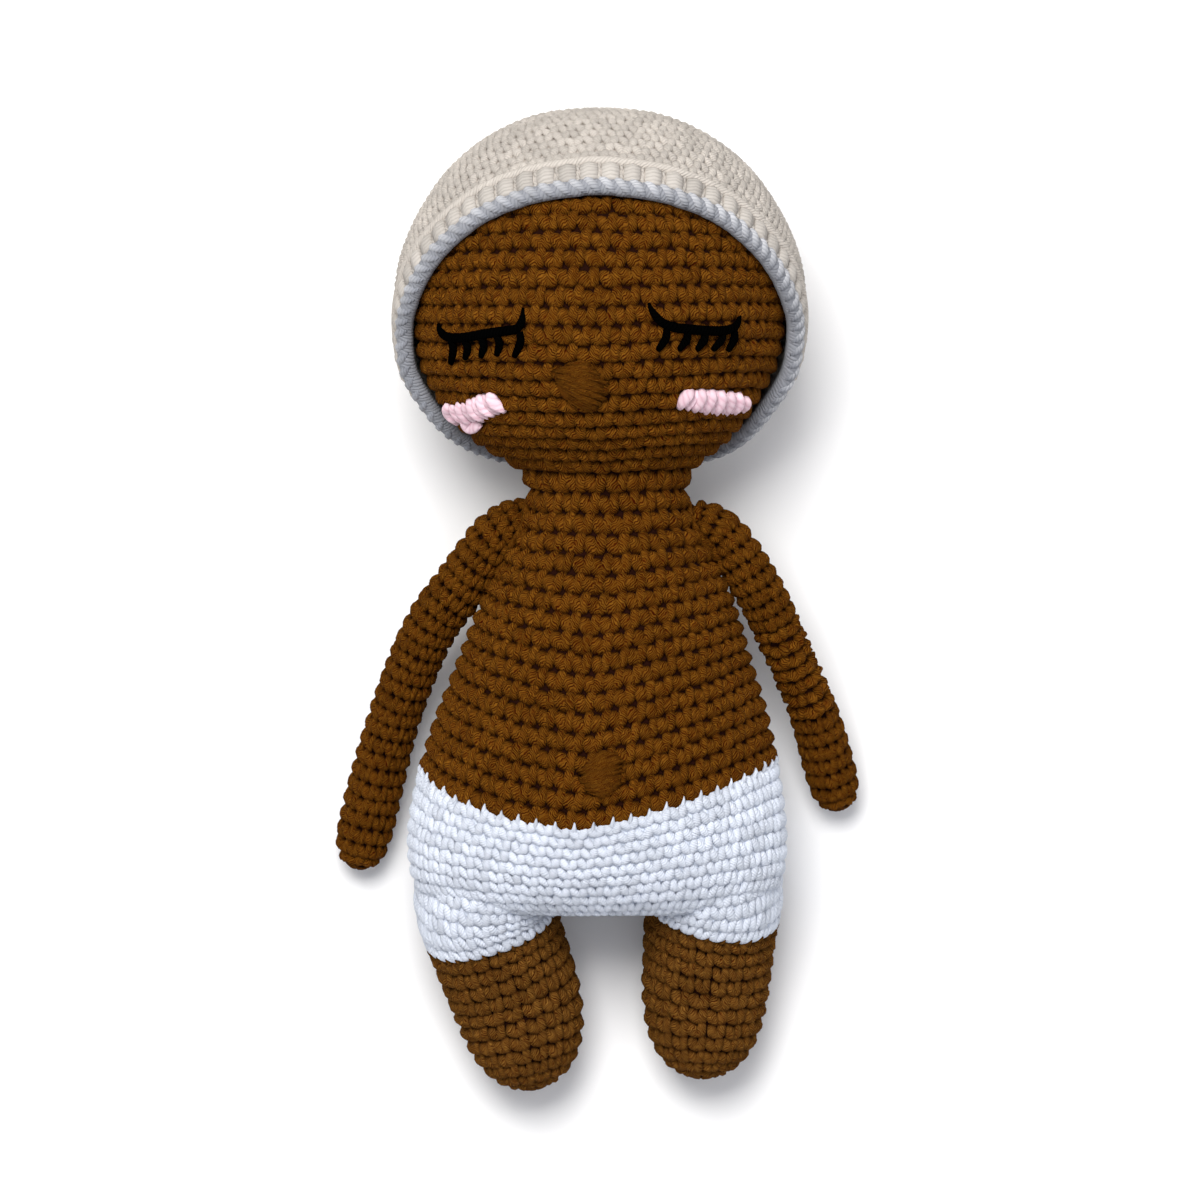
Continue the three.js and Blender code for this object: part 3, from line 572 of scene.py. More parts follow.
def piece(name, parts, materials, body, replaces=()):
    """Makes one object of the doll, in the frame's metres, attaches it to its body and hides the parts it
    stands for
    """
    points, loops, sizes, places, tone, rise, kinds = join(parts)
    mesh = bpy.data.meshes.new(name)
    mesh.vertices.add(len(points))
    mesh.vertices.foreach_set("co", place(points).ravel())
    mesh.loops.add(len(loops))
    mesh.loops.foreach_set("vertex_index", np.asarray(loops, np.int32))
    mesh.polygons.add(len(sizes))
    mesh.polygons.foreach_set("loop_start", np.concatenate([[0], np.cumsum(sizes)[:-1]]).astype(np.int32))
    mesh.polygons.foreach_set("loop_total", np.asarray(sizes, np.int32))
    mesh.update(calc_edges=True)
    mesh.polygons.foreach_set("use_smooth", np.ones(len(sizes), bool))
    mesh.uv_layers.new(name="yarn").data.foreach_set("uv", np.asarray(places, np.float32).ravel())
    for attribute, values in (("tone", tone), ("rise", rise)):
        layer = mesh.attributes.new(attribute, "FLOAT", "POINT")
        layer.data.foreach_set("value", np.asarray(values, np.float32))
    mesh.validate()
    for material in materials:
        mesh.materials.append(material)
    mesh.polygons.foreach_set("material_index", kinds.astype(np.int32))
    made = bpy.data.objects.new(name, mesh)
    scene.collection.objects.link(made)
    if body:
        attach(made, body)
    if replaces:
        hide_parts(*replaces)
    return made


# One single crochet stitch. Its two legs come up side by side out of the round below, part at the
# top round the hole the next stitch is worked into, and the left one dives first. Across is in stitch
# widths, up in rows, out in mm from the fabric's face.
LEFT_LEG = [
    (0.01, -0.14, -2.7, 0.27, 0.85), (-0.05, 0.02, -1.95, 0.36, 1.2), (-0.13, 0.25, -1.25, 0.405, 1.45),
    (-0.20, 0.50, -1.2, 0.375, 1.4), (-0.245, 0.71, -1.7, 0.295, 1.15), (-0.26, 0.87, -2.85, 0.215, 0.8)]
RIGHT_LEG = [
    (0.20, -0.14, -2.7, 0.25, 0.85), (0.245, 0.02, -1.95, 0.305, 1.2), (0.275, 0.25, -1.35, 0.335, 1.4),
    (0.31, 0.52, -1.25, 0.315, 1.4), (0.345, 0.80, -1.6, 0.28, 1.15), (0.38, 1.07, -2.45, 0.24, 0.9)]
single_crochet = unit_of([LEFT_LEG, RIGHT_LEG])
# On the legs the stitches stand in upright columns
COLUMN_LEFT = [
    (0.02, -0.18, -2.5, 0.21, 0.9), (-0.08, 0.05, -1.7, 0.31, 1.25), (-0.16, 0.30, -1.25, 0.365, 1.45),
    (-0.22, 0.56, -1.25, 0.33, 1.35), (-0.25, 0.78, -1.8, 0.26, 1.0), (-0.26, 0.94, -2.8, 0.19, 0.8)]
COLUMN_RIGHT = [
    (0.16, -0.18, -2.5, 0.20, 0.9), (0.21, 0.05, -1.7, 0.28, 1.2), (0.25, 0.30, -1.3, 0.315, 1.4),
    (0.28, 0.58, -1.3, 0.29, 1.35), (0.30, 0.86, -1.65, 0.24, 1.1), (0.31, 1.12, -2.5, 0.18, 0.9)]
column_crochet = unit_of([COLUMN_LEFT, COLUMN_RIGHT])
# Worked tighter in the finer white yarn, so its legs stand apart as two slim ovals
FINE_LEFT = [
    (-0.02, -0.12, -2.0, 0.24, 0.9), (-0.1, 0.08, -1.4, 0.32, 1.1), (-0.19, 0.34, -1.1, 0.335, 1.25),
    (-0.26, 0.60, -1.15, 0.305, 1.2), (-0.31, 0.82, -1.5, 0.25, 1.0), (-0.33, 1.0, -2.2, 0.18, 0.8)]
FINE_RIGHT = [
    (0.13, -0.12, -2.0, 0.22, 0.9), (0.20, 0.08, -1.4, 0.29, 1.1), (0.26, 0.34, -1.1, 0.315, 1.25),
    (0.29, 0.62, -1.15, 0.295, 1.2), (0.33, 0.86, -1.45, 0.25, 1.0), (0.36, 1.10, -2.1, 0.18, 0.8)]
fine_crochet = unit_of([FINE_LEFT, FINE_RIGHT])
# Where the yarn changes, the top of a stitch in the old colour shows between two of the new
SPIKE = [(0.44, -0.34, -1.9, 0.16, 1.0), (0.46, -0.1, -1.1, 0.15, 1.2), (0.49, 0.1, -0.8, 0.1, 1.1),
         (0.5, 0.26, -0.8, 0.06, 0.9), (0.5, 0.38, -1.2, 0.025, 0.5)]
spike = unit_of([SPIKE])

# Trunk: one fabric worked from the hips over the waist and the neck to the crown
WAIST_Y, HIP_END = -70.5, -109.2
NECK_FROM, CHIN_FROM = -6.0, 5.0
# The last rounds draw together over the top of the crown
CROWN_CLOSES, CROWN_POINT = 8.5, 0.02
# How far the back of the fabric and the filling lie under its face
BACK_DEPTH, WHITE_BACK_DEPTH, FILL_DEPTH = -2.1, -1.4, -4.4
WHITE_STITCH_SIZE = 0.88
# The head's stitches end this far in under the bonnet
UNDER_CAP = 12


def trunk_tilt(y):
    """How far a round tilts, in radians: most at the waist, hardly at the neck"""
    return float(np.interp(y, [-111, -92, -70.5, -45, -20, 0, 25, 50, 75, 98],
                           [0.07, 0.26, 0.41, 0.33, 0.17, 0.08, 0.1, 0.05, -0.04, 0]))


def even_rounds(ring_at, sides, pitch, angle=math.pi / 2):
    """Rounds evenly spaced down one line of a form, between the first and the last of its places"""
    line = np.array([ring_at(y, np.array([angle]))[0] for y in sides])
    run = run_along(line)
    steps = max(1, int(round(run[-1] / pitch)))
    at = np.interp(np.linspace(0, run[-1], steps + 1), run, sides)
    return at, [ring_at(y, turns) for y in at]


def trunk_ring_at(y, angles):
    """The trunk's round at a height, tilted as it is there"""
    return trunk_ring(y, trunk_tilt(y), angles)


round_sides, rings = even_rounds(trunk_ring_at, np.concatenate([
    np.linspace(WAIST_Y, CROWN - CROWN_CLOSES, 500),
    CROWN - np.geomspace(CROWN_CLOSES, CROWN_POINT, 200)]), ROW_TALL)


def trunk_stitch(row):
    """The width of a stitch, narrowest at the waist"""
    return float(np.interp(round_sides[row], [-70, -45, -15, 0, 30, 98], [4.85, 5.1, 5.5, 5.4, 5.3, 5.3]))


def trunk_drift(row):
    """How far a round's stitches start past those below"""
    return float(np.interp(round_sides[row], [-70, -5, 20, 98], [0.33, 0.33, 0.28, 0.28]))


trunk_fabric = Rounds(rings, trunk_stitch, drift=trunk_drift)
neck_row = int(np.searchsorted(round_sides, NECK_FROM))
chin_row = int(np.searchsorted(round_sides, CHIN_FROM))

# The bonnet's mouth seen from the side, in half depths of the head from its middle: (up, forward)
mouth_shares = smooth_rows([
    (-1.3, -1.5), (-1.05, -1.2), (-0.94, -0.95), (-0.85, -0.62), (-0.77, -0.36), (-0.66, -0.16), (-0.48, 0),
    (-0.3, 0.12), (-0.1, 0.24), (0.02, 0.36), (0.2, 0.54), (0.4, 0.717), (0.54, 0.84), (0.95, 1.3)], 400)
mouth_line = mouth_shares * HEAD_DEEP + HEAD_MIDDLE[1:]
mouth_line = mouth_line[np.argsort(mouth_line[:, 0])]


def under_cap(points):
    """How far each point lies behind the bonnet's mouth, in millimetres"""
    return np.interp(points[..., 1], mouth_line[:, 0], mouth_line[:, 1]) - points[..., 2]


def bare(points):
    """Stitches of the head that the bonnet doesn't hide"""
    return under_cap(points) < UNDER_CAP


def worked(name, rounds, rows, unit, materials, body, replaces, keep=None, deep=BACK_DEPTH,
           size=1.0):
    """A piece of fabric: its stitches over its own back"""
    return piece(name, [(0, stitched(rounds, unit, rows, keep, size)), (1, skin_of(rounds, deep, rows))],
                 materials, body, replaces)


def filling(name, rounds, rows, body, replaces):
    """The fibre inside a piece of fabric"""
    return piece(name, [(0, skin_of(rounds, FILL_DEPTH, rows))], [fibre_fill], body, replaces)


# The brown fabric's back is painted shade, the white fabric's back painted light
brown = [brown_yarn, brown_back_painted_shade]
white = [white_yarn, white_back_painted_light]
torso_rows, neck_rows = range(0, neck_row), range(neck_row, chin_row)
head_rows = range(chin_row, trunk_fabric.rows)
worked("torso_rounds", trunk_fabric, torso_rows, single_crochet, brown, "torso",
       ["torso_fabric"])
neck = worked("neck_rounds", trunk_fabric, neck_rows, single_crochet, brown, None,
              ["neck_fabric"])
head = worked("head_rounds", trunk_fabric, head_rows, single_crochet, brown, None,
              ["head_fabric"], bare)
neck_fill = filling("neck_filling", trunk_fabric, neck_rows, None, ["neck_stuffing"])
head_fill = filling("head_filling", trunk_fabric, head_rows, None, ["head_stuffing"])

# The pieces that lie across a bend, each with its two bodies and the places between which it goes over from
# one to the other. This script only bakes their transforms; nothing here makes them bend.
NECK_BEND = (3.2, -3.5, 45), (3.2, 4.5, 46)
CHIN_BEND = (3.2, 4, 47), (2.4, 13, 49)
bending = [(made, "torso", "neck", *NECK_BEND) for made in (neck, neck_fill)]
bending += [(made, "neck", "head", *CHIN_BEND) for made in (head, head_fill)]

# Limbs: rounds along a bent middle line. An outline's row is the share of the length, then the shares of
# the half width and half depth there.
HEADING_STEP = 1.5
THINNEST = 0.05
TIP_POINT = 0.0004


class Limb:
    """A tapering form along a line. lean tells how its rounds lie aslant at each share of its length,
    and ball closes it with half a ball before its first share."""

    def __init__(self, line, outline, wide, deep, ball=False):
        self.line = smooth_rows(line, 400)
        self.run = run_along(self.line)
        self.long = self.run[-1]
        self.outline = smooth_rows(outline, 600)
        self.wide, self.deep, self.ball = wide, deep, ball
        self.lean = lambda s: (0.0, 0.0)

    def middle(self, s):
        """The middle at each share of the length, and which way the limb heads there"""
        at = np.clip(s, 0, 1) * self.long
        spot, ahead, behind = (line_at(self.line, self.run, at + step)
                               for step in (0, HEADING_STEP, -HEADING_STEP))
        heading = directions(ahead - behind)
        return spot + heading * ((s - np.clip(s, 0, 1)) * self.long)[..., None], heading

    def sizes(self, s):
        """The half width and half depth at each share of the length"""
        inside = np.clip(s, 0, 1)
        wide = np.interp(inside, self.outline[:, 0], self.outline[:, 1]) * self.wide
        deep = np.interp(inside, self.outline[:, 0], self.outline[:, 2]) * self.deep
        if self.ball:
            over = np.sqrt(np.clip(1 - (np.minimum(s, 0) * self.long / self.deep) ** 2, 0, 1))
            wide, deep = wide * over, deep * over
        return np.maximum(wide, THINNEST), np.maximum(deep, THINNEST)

    def ring(self, s, angles):
        """One round of the limb"""
        lean_x, lean_z = self.lean(s)
        wide, deep = self.sizes(np.array([s]))
        at = s + (lean_x * np.cos(angles) * wide[0] + lean_z * np.sin(angles) * deep[0]) / self.long
        middle, heading = self.middle(at)
        side = directions(np.stack([-heading[:, 1], heading[:, 0], np.zeros(len(at))], 1))
        rise = np.cross(heading, side)
        wide, deep = self.sizes(at)
        return middle + side * (wide * np.cos(angles))[:, None] + rise * (deep * np.sin(angles))[:, None]

    def depth(self, points):
        """How far inside the form each point lies, roughly, in millimetres"""
        gap = np.linalg.norm(points[:, None] - self.line[None, ::4], axis=2)
        nearest = gap.argmin(1)
        wide, deep = self.sizes(self.run[::4][nearest] / self.long)
        return (wide + deep) / 2 - gap[np.arange(len(points)), nearest]


def closing(last_share):
    """Places over the last share of a limb, from its very tip"""
    return 1 - np.geomspace(TIP_POINT, last_share, 60)


# Legs and the shorts' legs. Below the hem each is brown, above it white.
LEG_LONG = 73.0
LEG_TOP_Y, LEG_TOP_Z = -85, 34
leg_shares = [
    (0, 0.3, 0.5), (0.03, 0.62, 1.0), (0.12, 0.92, 1.42), (0.28, 1, 1.38), (0.42, 0.955, 1.13),
    (0.58, 0.93, 0.96),
    (0.73, 0.89, 0.89), (0.84, 0.79, 0.8), (0.92, 0.62, 0.64), (0.98, 0.33, 0.34), (1, 0, 0)]
LEG_ROW, LEG_STITCH, CUFF_STITCH = 4.1, 5.15, 4.6
HEM_LEAN_Z = 0.07
FOOT_CLOSES, FOOT_FROM = 0.06, 0.935
# The white legs run up inside the hips, where their stitches stop, and the bend reaches this far either
# way from the hem
CUFF_TOP_SHARE, HIPS_INSIDE_SHARE = 0.04, 0.95
BEND_REACH = 8


def leg_line(aside, shares):
    """The middle line of a leg, from shares of its length (to the right, down, up from the table)"""
    return [(aside + a * LEG_LONG, LEG_TOP_Y - down * LEG_LONG, LEG_TOP_Z + up * LEG_LONG)
            for a, down, up in shares]


def hem_lean(share, lean_x, lean_z):
    """The rounds of a leg lie level at its foot and aslant at the hem"""
    return lambda s: (lean_x * float(np.interp(s, [share, 1], [1, 0])),
                      lean_z * float(np.interp(s, [share, 1], [1, 0])))


# Each leg with how far down it the hem is, and how far the hem leans sideways
legs = {
    "left": (Limb(leg_line(-27.3, [
        (0, 0, 0), (-0.045, 0.28, -0.09), (-0.01, 0.44, -0.14), (0.075, 0.7, -0.2), (0.142, 1.014, -0.23)]),
        leg_shares, 19.3, 18.0), 32.0, -0.03),
    "right": (Limb(leg_line(27.5, [
        (0, 0, 0), (0.04, 0.24, -0.09), (0.03, 0.4, -0.14), (0.01, 0.68, -0.21), (-0.003, 0.975, -0.24)]),
        leg_shares, 18.8, 18.0), 27.2, 0.1)}


def outside_hips(points):
    """Stitches of a leg's white rounds that aren't inside the hips"""
    x_mid, z_mid, wide, deep = trunk_at(points[:, 1])
    off = np.hypot((points[:, 0] - x_mid) / wide, (points[:, 2] - z_mid) / deep)
    return (off > HIPS_INSIDE_SHARE) | (points[:, 1] < HIP_END)


for side, (limb, hem_drop, lean_x) in legs.items():
    hem = hem_drop / limb.long
    limb.lean = hem_lean(hem, lean_x, HEM_LEAN_Z)
    _, foot_rings = even_rounds(limb.ring, np.concatenate([
        closing(FOOT_CLOSES), np.linspace(FOOT_FROM, hem, 200)]), LEG_ROW)
    leg_rounds = Rounds(foot_rings, LEG_STITCH, drift=0.02)
    _, cuff_rings = even_rounds(limb.ring, np.linspace(hem, CUFF_TOP_SHARE, 120), LEG_ROW)
    cuff_rounds = Rounds(cuff_rings, CUFF_STITCH, drift=0.2)
    leg = piece(f"{side}_leg_rounds", [
        (0, stitched(leg_rounds, column_crochet)), (0, stitched(cuff_rounds, spike, [0])),
        (1, skin_of(leg_rounds, BACK_DEPTH))], [leg_yarn, brown_back_painted_shade], None,
        [f"{side}_leg_fabric"])
    cuff = worked(f"{side}_shorts_leg", cuff_rounds, range(0, cuff_rounds.rows), fine_crochet, white, None,
                  [], outside_hips, WHITE_BACK_DEPTH, WHITE_STITCH_SIZE)
    leg_fill = filling(f"{side}_leg_filling", leg_rounds, range(0, leg_rounds.rows), None,
                       [f"{side}_leg_stuffing"])
    middle, heading = limb.middle(np.array([hem]))
    start, end = middle[0] - BEND_REACH * heading[0], middle[0] + BEND_REACH * heading[0]
    bending += [(made, "torso", f"{side}_leg", start, end) for made in (leg, cuff, leg_fill)]

# Shorts: the white rounds of the hips, down to the crotch. The crotch closes in rounds, each so far in
# from the hips' edge and so far below it.
HIP_ROW, HIP_STITCH = 4.3, 4.45
# A hip stitch is left out where a leg covers it by more than this
LEG_COVER = 2.5
_, hip_rings = even_rounds(trunk_ring_at, np.linspace(HIP_END, WAIST_Y, 200), HIP_ROW, angle=0.0)
x_mid, z_mid, wide, deep = trunk_at(HIP_END)
crotch = [np.stack([x_mid + max(wide - inset, 0.1) * np.cos(turns), HIP_END - drop + 0 * turns,
                    z_mid + max(deep - inset, 0.1) * np.sin(turns)], 1)
          for inset, drop in ((deep - 0.2, 1.4), (0.75 * deep, 1.4), (0.5 * deep, 1.2), (0.22 * deep, 0.8))]
hip_rounds = Rounds(crotch + hip_rings, HIP_STITCH, drift=0.23)


def outside_legs(points):
    """Stitches of the hips that no leg covers"""
    return np.maximum(legs["left"][0].depth(points), legs["right"][0].depth(points)) < LEG_COVER


piece("shorts_rounds", [
    (0, stitched(hip_rounds, fine_crochet, keep=outside_legs, size=WHITE_STITCH_SIZE)),
    (0, stitched(trunk_fabric, spike, [0])), (1, skin_of(hip_rounds, WHITE_BACK_DEPTH))],
    white, "torso", ["shorts_fabric"])
piece("body_filling", [
    (0, skin_of(trunk_fabric, FILL_DEPTH, torso_rows)), (0, skin_of(hip_rounds, FILL_DEPTH))],
    [fibre_fill], "torso", ["body_stuffing"])

# Arms, each worked from the fingers up and closed round the shoulder
arm_shares = [(0, 1, 1), (0.2, 0.96, 0.96), (0.4, 0.93, 0.93), (0.6, 0.92, 0.92), (0.78, 0.98, 0.98),
               (0.9, 0.98, 1.0), (0.955, 0.86, 0.9), (0.985, 0.58, 0.6), (1, 0, 0)]
SHOULDER_Y, SHOULDER_Z, HAND_Z = -9.5, 40.0, 7.6
ARM_ROW, ARM_STITCH = 4.3, 4.6
HAND_CLOSES, HAND_FROM = 0.04, 0.955
# The shoulder's ball is worked nearly to its pole, and its last rounds hold no filling
BALL_WORKED_SHARE, ROUNDS_UNFILLED = 0.96, 3


def arm_line(shoulder_x, side, reach, shares):
    """The middle line of an arm, from inside the shoulder, and then from shares: outwards and down of its
    reach, and of its height over the table"""
    inside = [(shoulder_x - side * 6.0, SHOULDER_Y + 2.2, SHOULDER_Z - 1.0)]
    return inside + [(shoulder_x + side * a * reach, SHOULDER_Y - down * reach,
                      HAND_Z + up * (SHOULDER_Z - HAND_Z)) for a, down, up in shares]


arms = {
    "left": Limb(arm_line(-26.84, -1, 92, [
        (0, 0.008, 1), (0.1, 0.135, 0.86), (0.203, 0.275, 0.7), (0.298, 0.5, 0.4), (0.368, 0.74, 0.16),
        (0.426, 0.985, 0)]), arm_shares, 7.8, 7.3, True),
    "right": Limb(arm_line(32.694, 1, 78, [
        (0, 0.01, 1), (0.117, 0.18, 0.97), (0.206, 0.36, 0.76), (0.314, 0.6, 0.4), (0.376, 0.8, 0.14),
        (0.42, 0.955, 0)]), arm_shares, 7.1, 7, True)}
for side, limb in arms.items():
    top = -limb.deep / limb.long * BALL_WORKED_SHARE
    _, arm_rings = even_rounds(limb.ring, np.concatenate([
        closing(HAND_CLOSES), np.linspace(HAND_FROM, top, 300)]), ARM_ROW)
    arm_rounds = Rounds(arm_rings, ARM_STITCH, drift=0.3)
    worked(f"{side}_arm_rounds", arm_rounds, range(0, arm_rounds.rows), single_crochet, brown,
           f"{side}_arm", [f"{side}_arm_fabric"])
    filling(f"{side}_arm_filling", arm_rounds, range(0, arm_rounds.rows - ROUNDS_UNFILLED), f"{side}_arm",
            [f"{side}_arm_stuffing"])


# Threads laid on the surface
def swept(path, radii, sides=8, flat=1.0, up=(0, 0, 1), closed=False):
    """A length of yarn along points; radii may change along it and flat presses it on the fabric"""
    path = np.asarray(path, float)
    radii = np.broadcast_to(np.asarray(radii, float), (len(path),))
    ahead = directions(np.roll(path, -1, 0) - np.roll(path, 1, 0) if closed else np.gradient(path, axis=0))
    out = np.broadcast_to(np.asarray(up, float), path.shape)
    out = directions(out - ahead * (out * ahead).sum(1, keepdims=True))
    side = np.cross(ahead, out)
    angles = np.arange(sides) / sides * 2 * math.pi
    rings = (path[:, None] + side[:, None] * (radii[:, None] * np.cos(angles))[..., None]
             + out[:, None] * (flat * radii[:, None] * np.sin(angles))[..., None])
    run = run_along(path)
    if closed:
        run = np.append(run, run[-1] + np.linalg.norm(path[0] - path[-1]))
    loops, sizes, places = [], [], []
    n = len(path)
    for k in range(n if closed else n - 1):
        m = (k + 1) % n
        for i in range(sides):
            j = (i + 1) % sides
            loops += [k * sides + i, m * sides + i, m * sides + j, k * sides + j]
            places += [(i / sides, run[k]), (i / sides, run[k + 1]), ((i + 1) / sides, run[k + 1]),
                       ((i + 1) / sides, run[k])]
            sizes.append(4)
    if not closed:
        for first, order in ((0, 1), ((n - 1) * sides, -1)):
            loops += [first + i for i in range(sides)][::order]
            places += [(0.1 * i, 0) for i in range(sides)]
            sizes.append(sides)
    points = rings.reshape(-1, 3)
    return (points, np.array(loops), np.array(sizes), np.array(places), np.full(len(points), chance.random()),
            np.ones(len(points)))


# A thread is lifted further where the fabric slopes away, but never as if it were less level than this
LEAST_LEVEL = 0.55
# How steeply a thread's ends dive
DIVE_POWER = 5


def on_front(x, y, lift=0.0):
    """A place on the front of the trunk, straight over (x, y)"""
    x, y = np.asarray(x, float), np.asarray(y, float)
    x_mid, z_mid, wide, deep = trunk_at(y)
    level = np.sqrt(np.clip(1 - ((x - x_mid) / wide) ** 2, 0, 1))
    return np.stack([x, y, z_mid + deep * level + lift / np.maximum(level, LEAST_LEVEL)], -1)


def laid(points, radii, lift, steps, flat, dive=(1.6, 1.6)):
    """A thread laid over the front along (x, y) places; its ends dive into the fabric"""
    flat_path = smooth_rows(points, steps)
    share = np.linspace(-1, 1, steps)
    sunk = np.abs(share) ** DIVE_POWER * np.where(share < 0, dive[0], dive[1])
    return swept(on_front(flat_path[:, 0], flat_path[:, 1], lift - sunk), np.interp(
        np.linspace(0, 1, steps), np.linspace(0, 1, len(radii)), radii), flat=flat)


# Eyes: the places along each closed lid, and each lash from the lid to its tip
eyes = {
    "left": ([(-41.8, 44.5), (-41.2, 42.6), (-39.4, 41.0), (-35.5, 40.5), (-28.9, 41.3), (-23.5, 41.9),
              (-20.9, 42.5), (-19.7, 44.9), (-19.5, 47.6)],
             [(-38.5, 40.7, -38.5, 34.9), (-34.7, 39.7, -34.7, 35.7), (-30.5, 40.3, -30.5, 36.0),
              (-26.4, 40.7, -26.4, 36.4), (-20.4, 41.5, -21.7, 36.0)]),
    "right": ([(12.5, 48.7), (13.6, 46.3), (15.9, 43.8), (19.2, 42.6), (24.9, 42.1), (30.3, 42.0),
               (33.7, 42.7), (35.4, 44.1), (36.2, 46.7)],
              [(17.1, 42.2, 15.1, 37.4), (22.5, 41.8, 20.5, 37.5), (26.9, 41.7, 25.1, 37.6),
               (31.6, 41.8, 29.3, 37.7), (34.5, 42.6, 33.2, 37.8)])}
LID_RADII, LASH_RADII = [0.4, 1.05, 1.25, 1.3, 1.25, 1.05, 0.4], [0.9, 1.05, 1.05, 0.75]
# A lash bows aside, and its tip runs on by a share of its length
LASH_BOW, LASH_TIP_SHARE = 0.75, 0.12
for side, (lid, lashes) in eyes.items():
    parts = [(0, laid(lid, LID_RADII, lift=0.7, steps=36, flat=0.7))]
    for ax, ay, bx, by in lashes:
        bend = ((ax + bx) / 2 + LASH_BOW, (ay + by) / 2)
        tip = (bx + LASH_TIP_SHARE * (bx - ax), by + LASH_TIP_SHARE * (by - ay))
        parts.append((0, laid([(ax, ay), bend, tip], LASH_RADII, lift=0.6, steps=10, flat=0.7,
                              dive=(0, 0.8))))
    piece(f"{side}_eye_embroidery", parts, [black_thread], "head", [f"{side}_eye"])

# Cheeks: the places along each strand. Thinner strands lie deeper between them, apart from the last on
# the left, which crosses the others, and the last on the right.
cheeks = {
    "left": [[(-39.7, 24.3), (-39.4, 22.0), (-37.2, 19.3)], [(-36.6, 24.3), (-35.9, 21.8), (-33.3, 18.7)],
             [(-33.8, 24.9), (-32.6, 21.8), (-30.0, 19.7)], [(-31.2, 25.8), (-29.9, 22.7), (-27.3, 20.9)],
             [(-28.5, 26.4), (-27.3, 23.9), (-24.4, 21.8)], [(-35.9, 20.5), (-33.8, 18.0), (-30.8, 18.8)]],
    "right": [[(23.9, 27.0), (22.1, 25.0), (20.4, 22.4)], [(26.5, 27.1), (25.8, 24.5), (24.3, 21.8)],
              [(29.2, 27.1), (28.4, 24.4), (27.2, 21.3)], [(31.5, 27.0), (31.1, 24.2), (30.1, 21.2)],
              [(33.9, 26.8), (33.7, 24.1), (32.7, 21.3)], [(36.0, 26.7), (35.9, 23.9), (35.1, 21.7)],
              [(38.0, 25.8), (37.8, 24.0), (37.3, 22.3)]]}
GAPS_FILLED = {"left": 4, "right": 5}
STRAND_RADII, BETWEEN_RADII = [0.9, 1.6, 1.75, 1.5, 0.8], [0.8, 1.3, 1.4, 1.2, 0.7]
STRAND_LIFT, EVERY_OTHER_LIFT, BETWEEN_LIFT = 0.5, 0.15, -0.25
for side, strands in cheeks.items():
    parts = [(0, laid(points, STRAND_RADII, STRAND_LIFT + EVERY_OTHER_LIFT * (k % 2), steps=12, flat=0.6))
             for k, points in enumerate(strands)]
    for first, second in zip(strands[:GAPS_FILLED[side]], strands[1:]):
        between = (np.array(first) + np.array(second)) / 2
        parts.append((0, laid(between, BETWEEN_RADII, BETWEEN_LIFT, steps=12, flat=0.6)))
    piece(f"{side}_cheek_embroidery", parts, [pink_yarn], "head", [f"{side}_cheek"])

# Nose and navel. The mound, and the strands over it, start sunk under the fabric's face, and rise from
# there by their bulge and a little more.
MOUND_SUNK, MOUND_MORE = 2.0, 1.5
STRAND_SUNK, STRAND_MORE = 1.5, 1.0
MOUND_POINTS = 28
# The strands differ in length, place and slope. They fan out and bow away from the middle one, lie lower
# towards the mound's rim, and are thinner at their ends and unlike in tone.
LONGER, LENGTH_SPREAD, PLACE_SPREAD, SLOPE_SPREAD = 0.2, 0.4, 0.2, 0.12
OUTER_STRAND, FAN, STRAND_BOW = 0.97, 0.25, 0.9
RIM_LOWER, CREST_POWER = 0.9, 0.8
SATIN_RADII, SATIN_TONES = [0.5, 0.36], (0.7, 1.15)


def satin_bump(name, x, y, width, height, bulge, slope, body, replaces, strands=23):
    """A mound covered with strands laid close together"""
    around = np.arange(MOUND_POINTS) / MOUND_POINTS * 2 * math.pi
    rings = []
    for level in np.linspace(0, 1, 8)[:-1]:
        reach = math.cos(level * math.pi / 2)
        ring = on_front(x + reach * width / 2 * np.cos(around), y + reach * height / 2 * np.sin(around))
        ring[:, 2] += -MOUND_SUNK + (bulge + MOUND_MORE) * math.sin(level * math.pi / 2)
        rings.append(ring)
    parts = [(0, skin_of(Rounds(rings, 4, tidy=False), 0.0, around=MOUND_POINTS))]
    for k in range(strands):
        share = (k + 0.5) / strands * 2 - 1
        half = math.sqrt(1 - (OUTER_STRAND * share) ** 2)
        across = np.linspace(-1, 1, 13)
        reach = half * width / 2
        px = x + across * (reach + chance.normal(LONGER, LENGTH_SPREAD)) + chance.normal(0, PLACE_SPREAD)
        tilt = slope * (1 + chance.normal(0, SLOPE_SPREAD)) + FAN * share
        py = y + share * height / 2 + tilt * across * reach + STRAND_BOW * (1 - across ** 2) * share
        crest = np.sqrt(np.clip(1 - (across * half) ** 2 - RIM_LOWER * share ** 2, 0, 1))
        path = on_front(px, py)
        path[:, 2] += -STRAND_SUNK + (bulge + STRAND_MORE) * crest ** CREST_POWER
        strand = list(swept(path, np.interp(abs(across), [0, 1], SATIN_RADII), sides=6))
        strand[4] = np.full(len(strand[0]), chance.uniform(*SATIN_TONES))
        parts.append((0, strand))
    piece(name, parts, brown, body, replaces)


satin_bump("nose_embroidery", -4.9, 28.2, 12.6, 9.8, 2.9, -0.34, "head", ["nose"])
satin_bump("navel_embroidery", 0.6, -72.2, 11.0, 10.2, 2.4, 0.2, "torso", ["navel"])

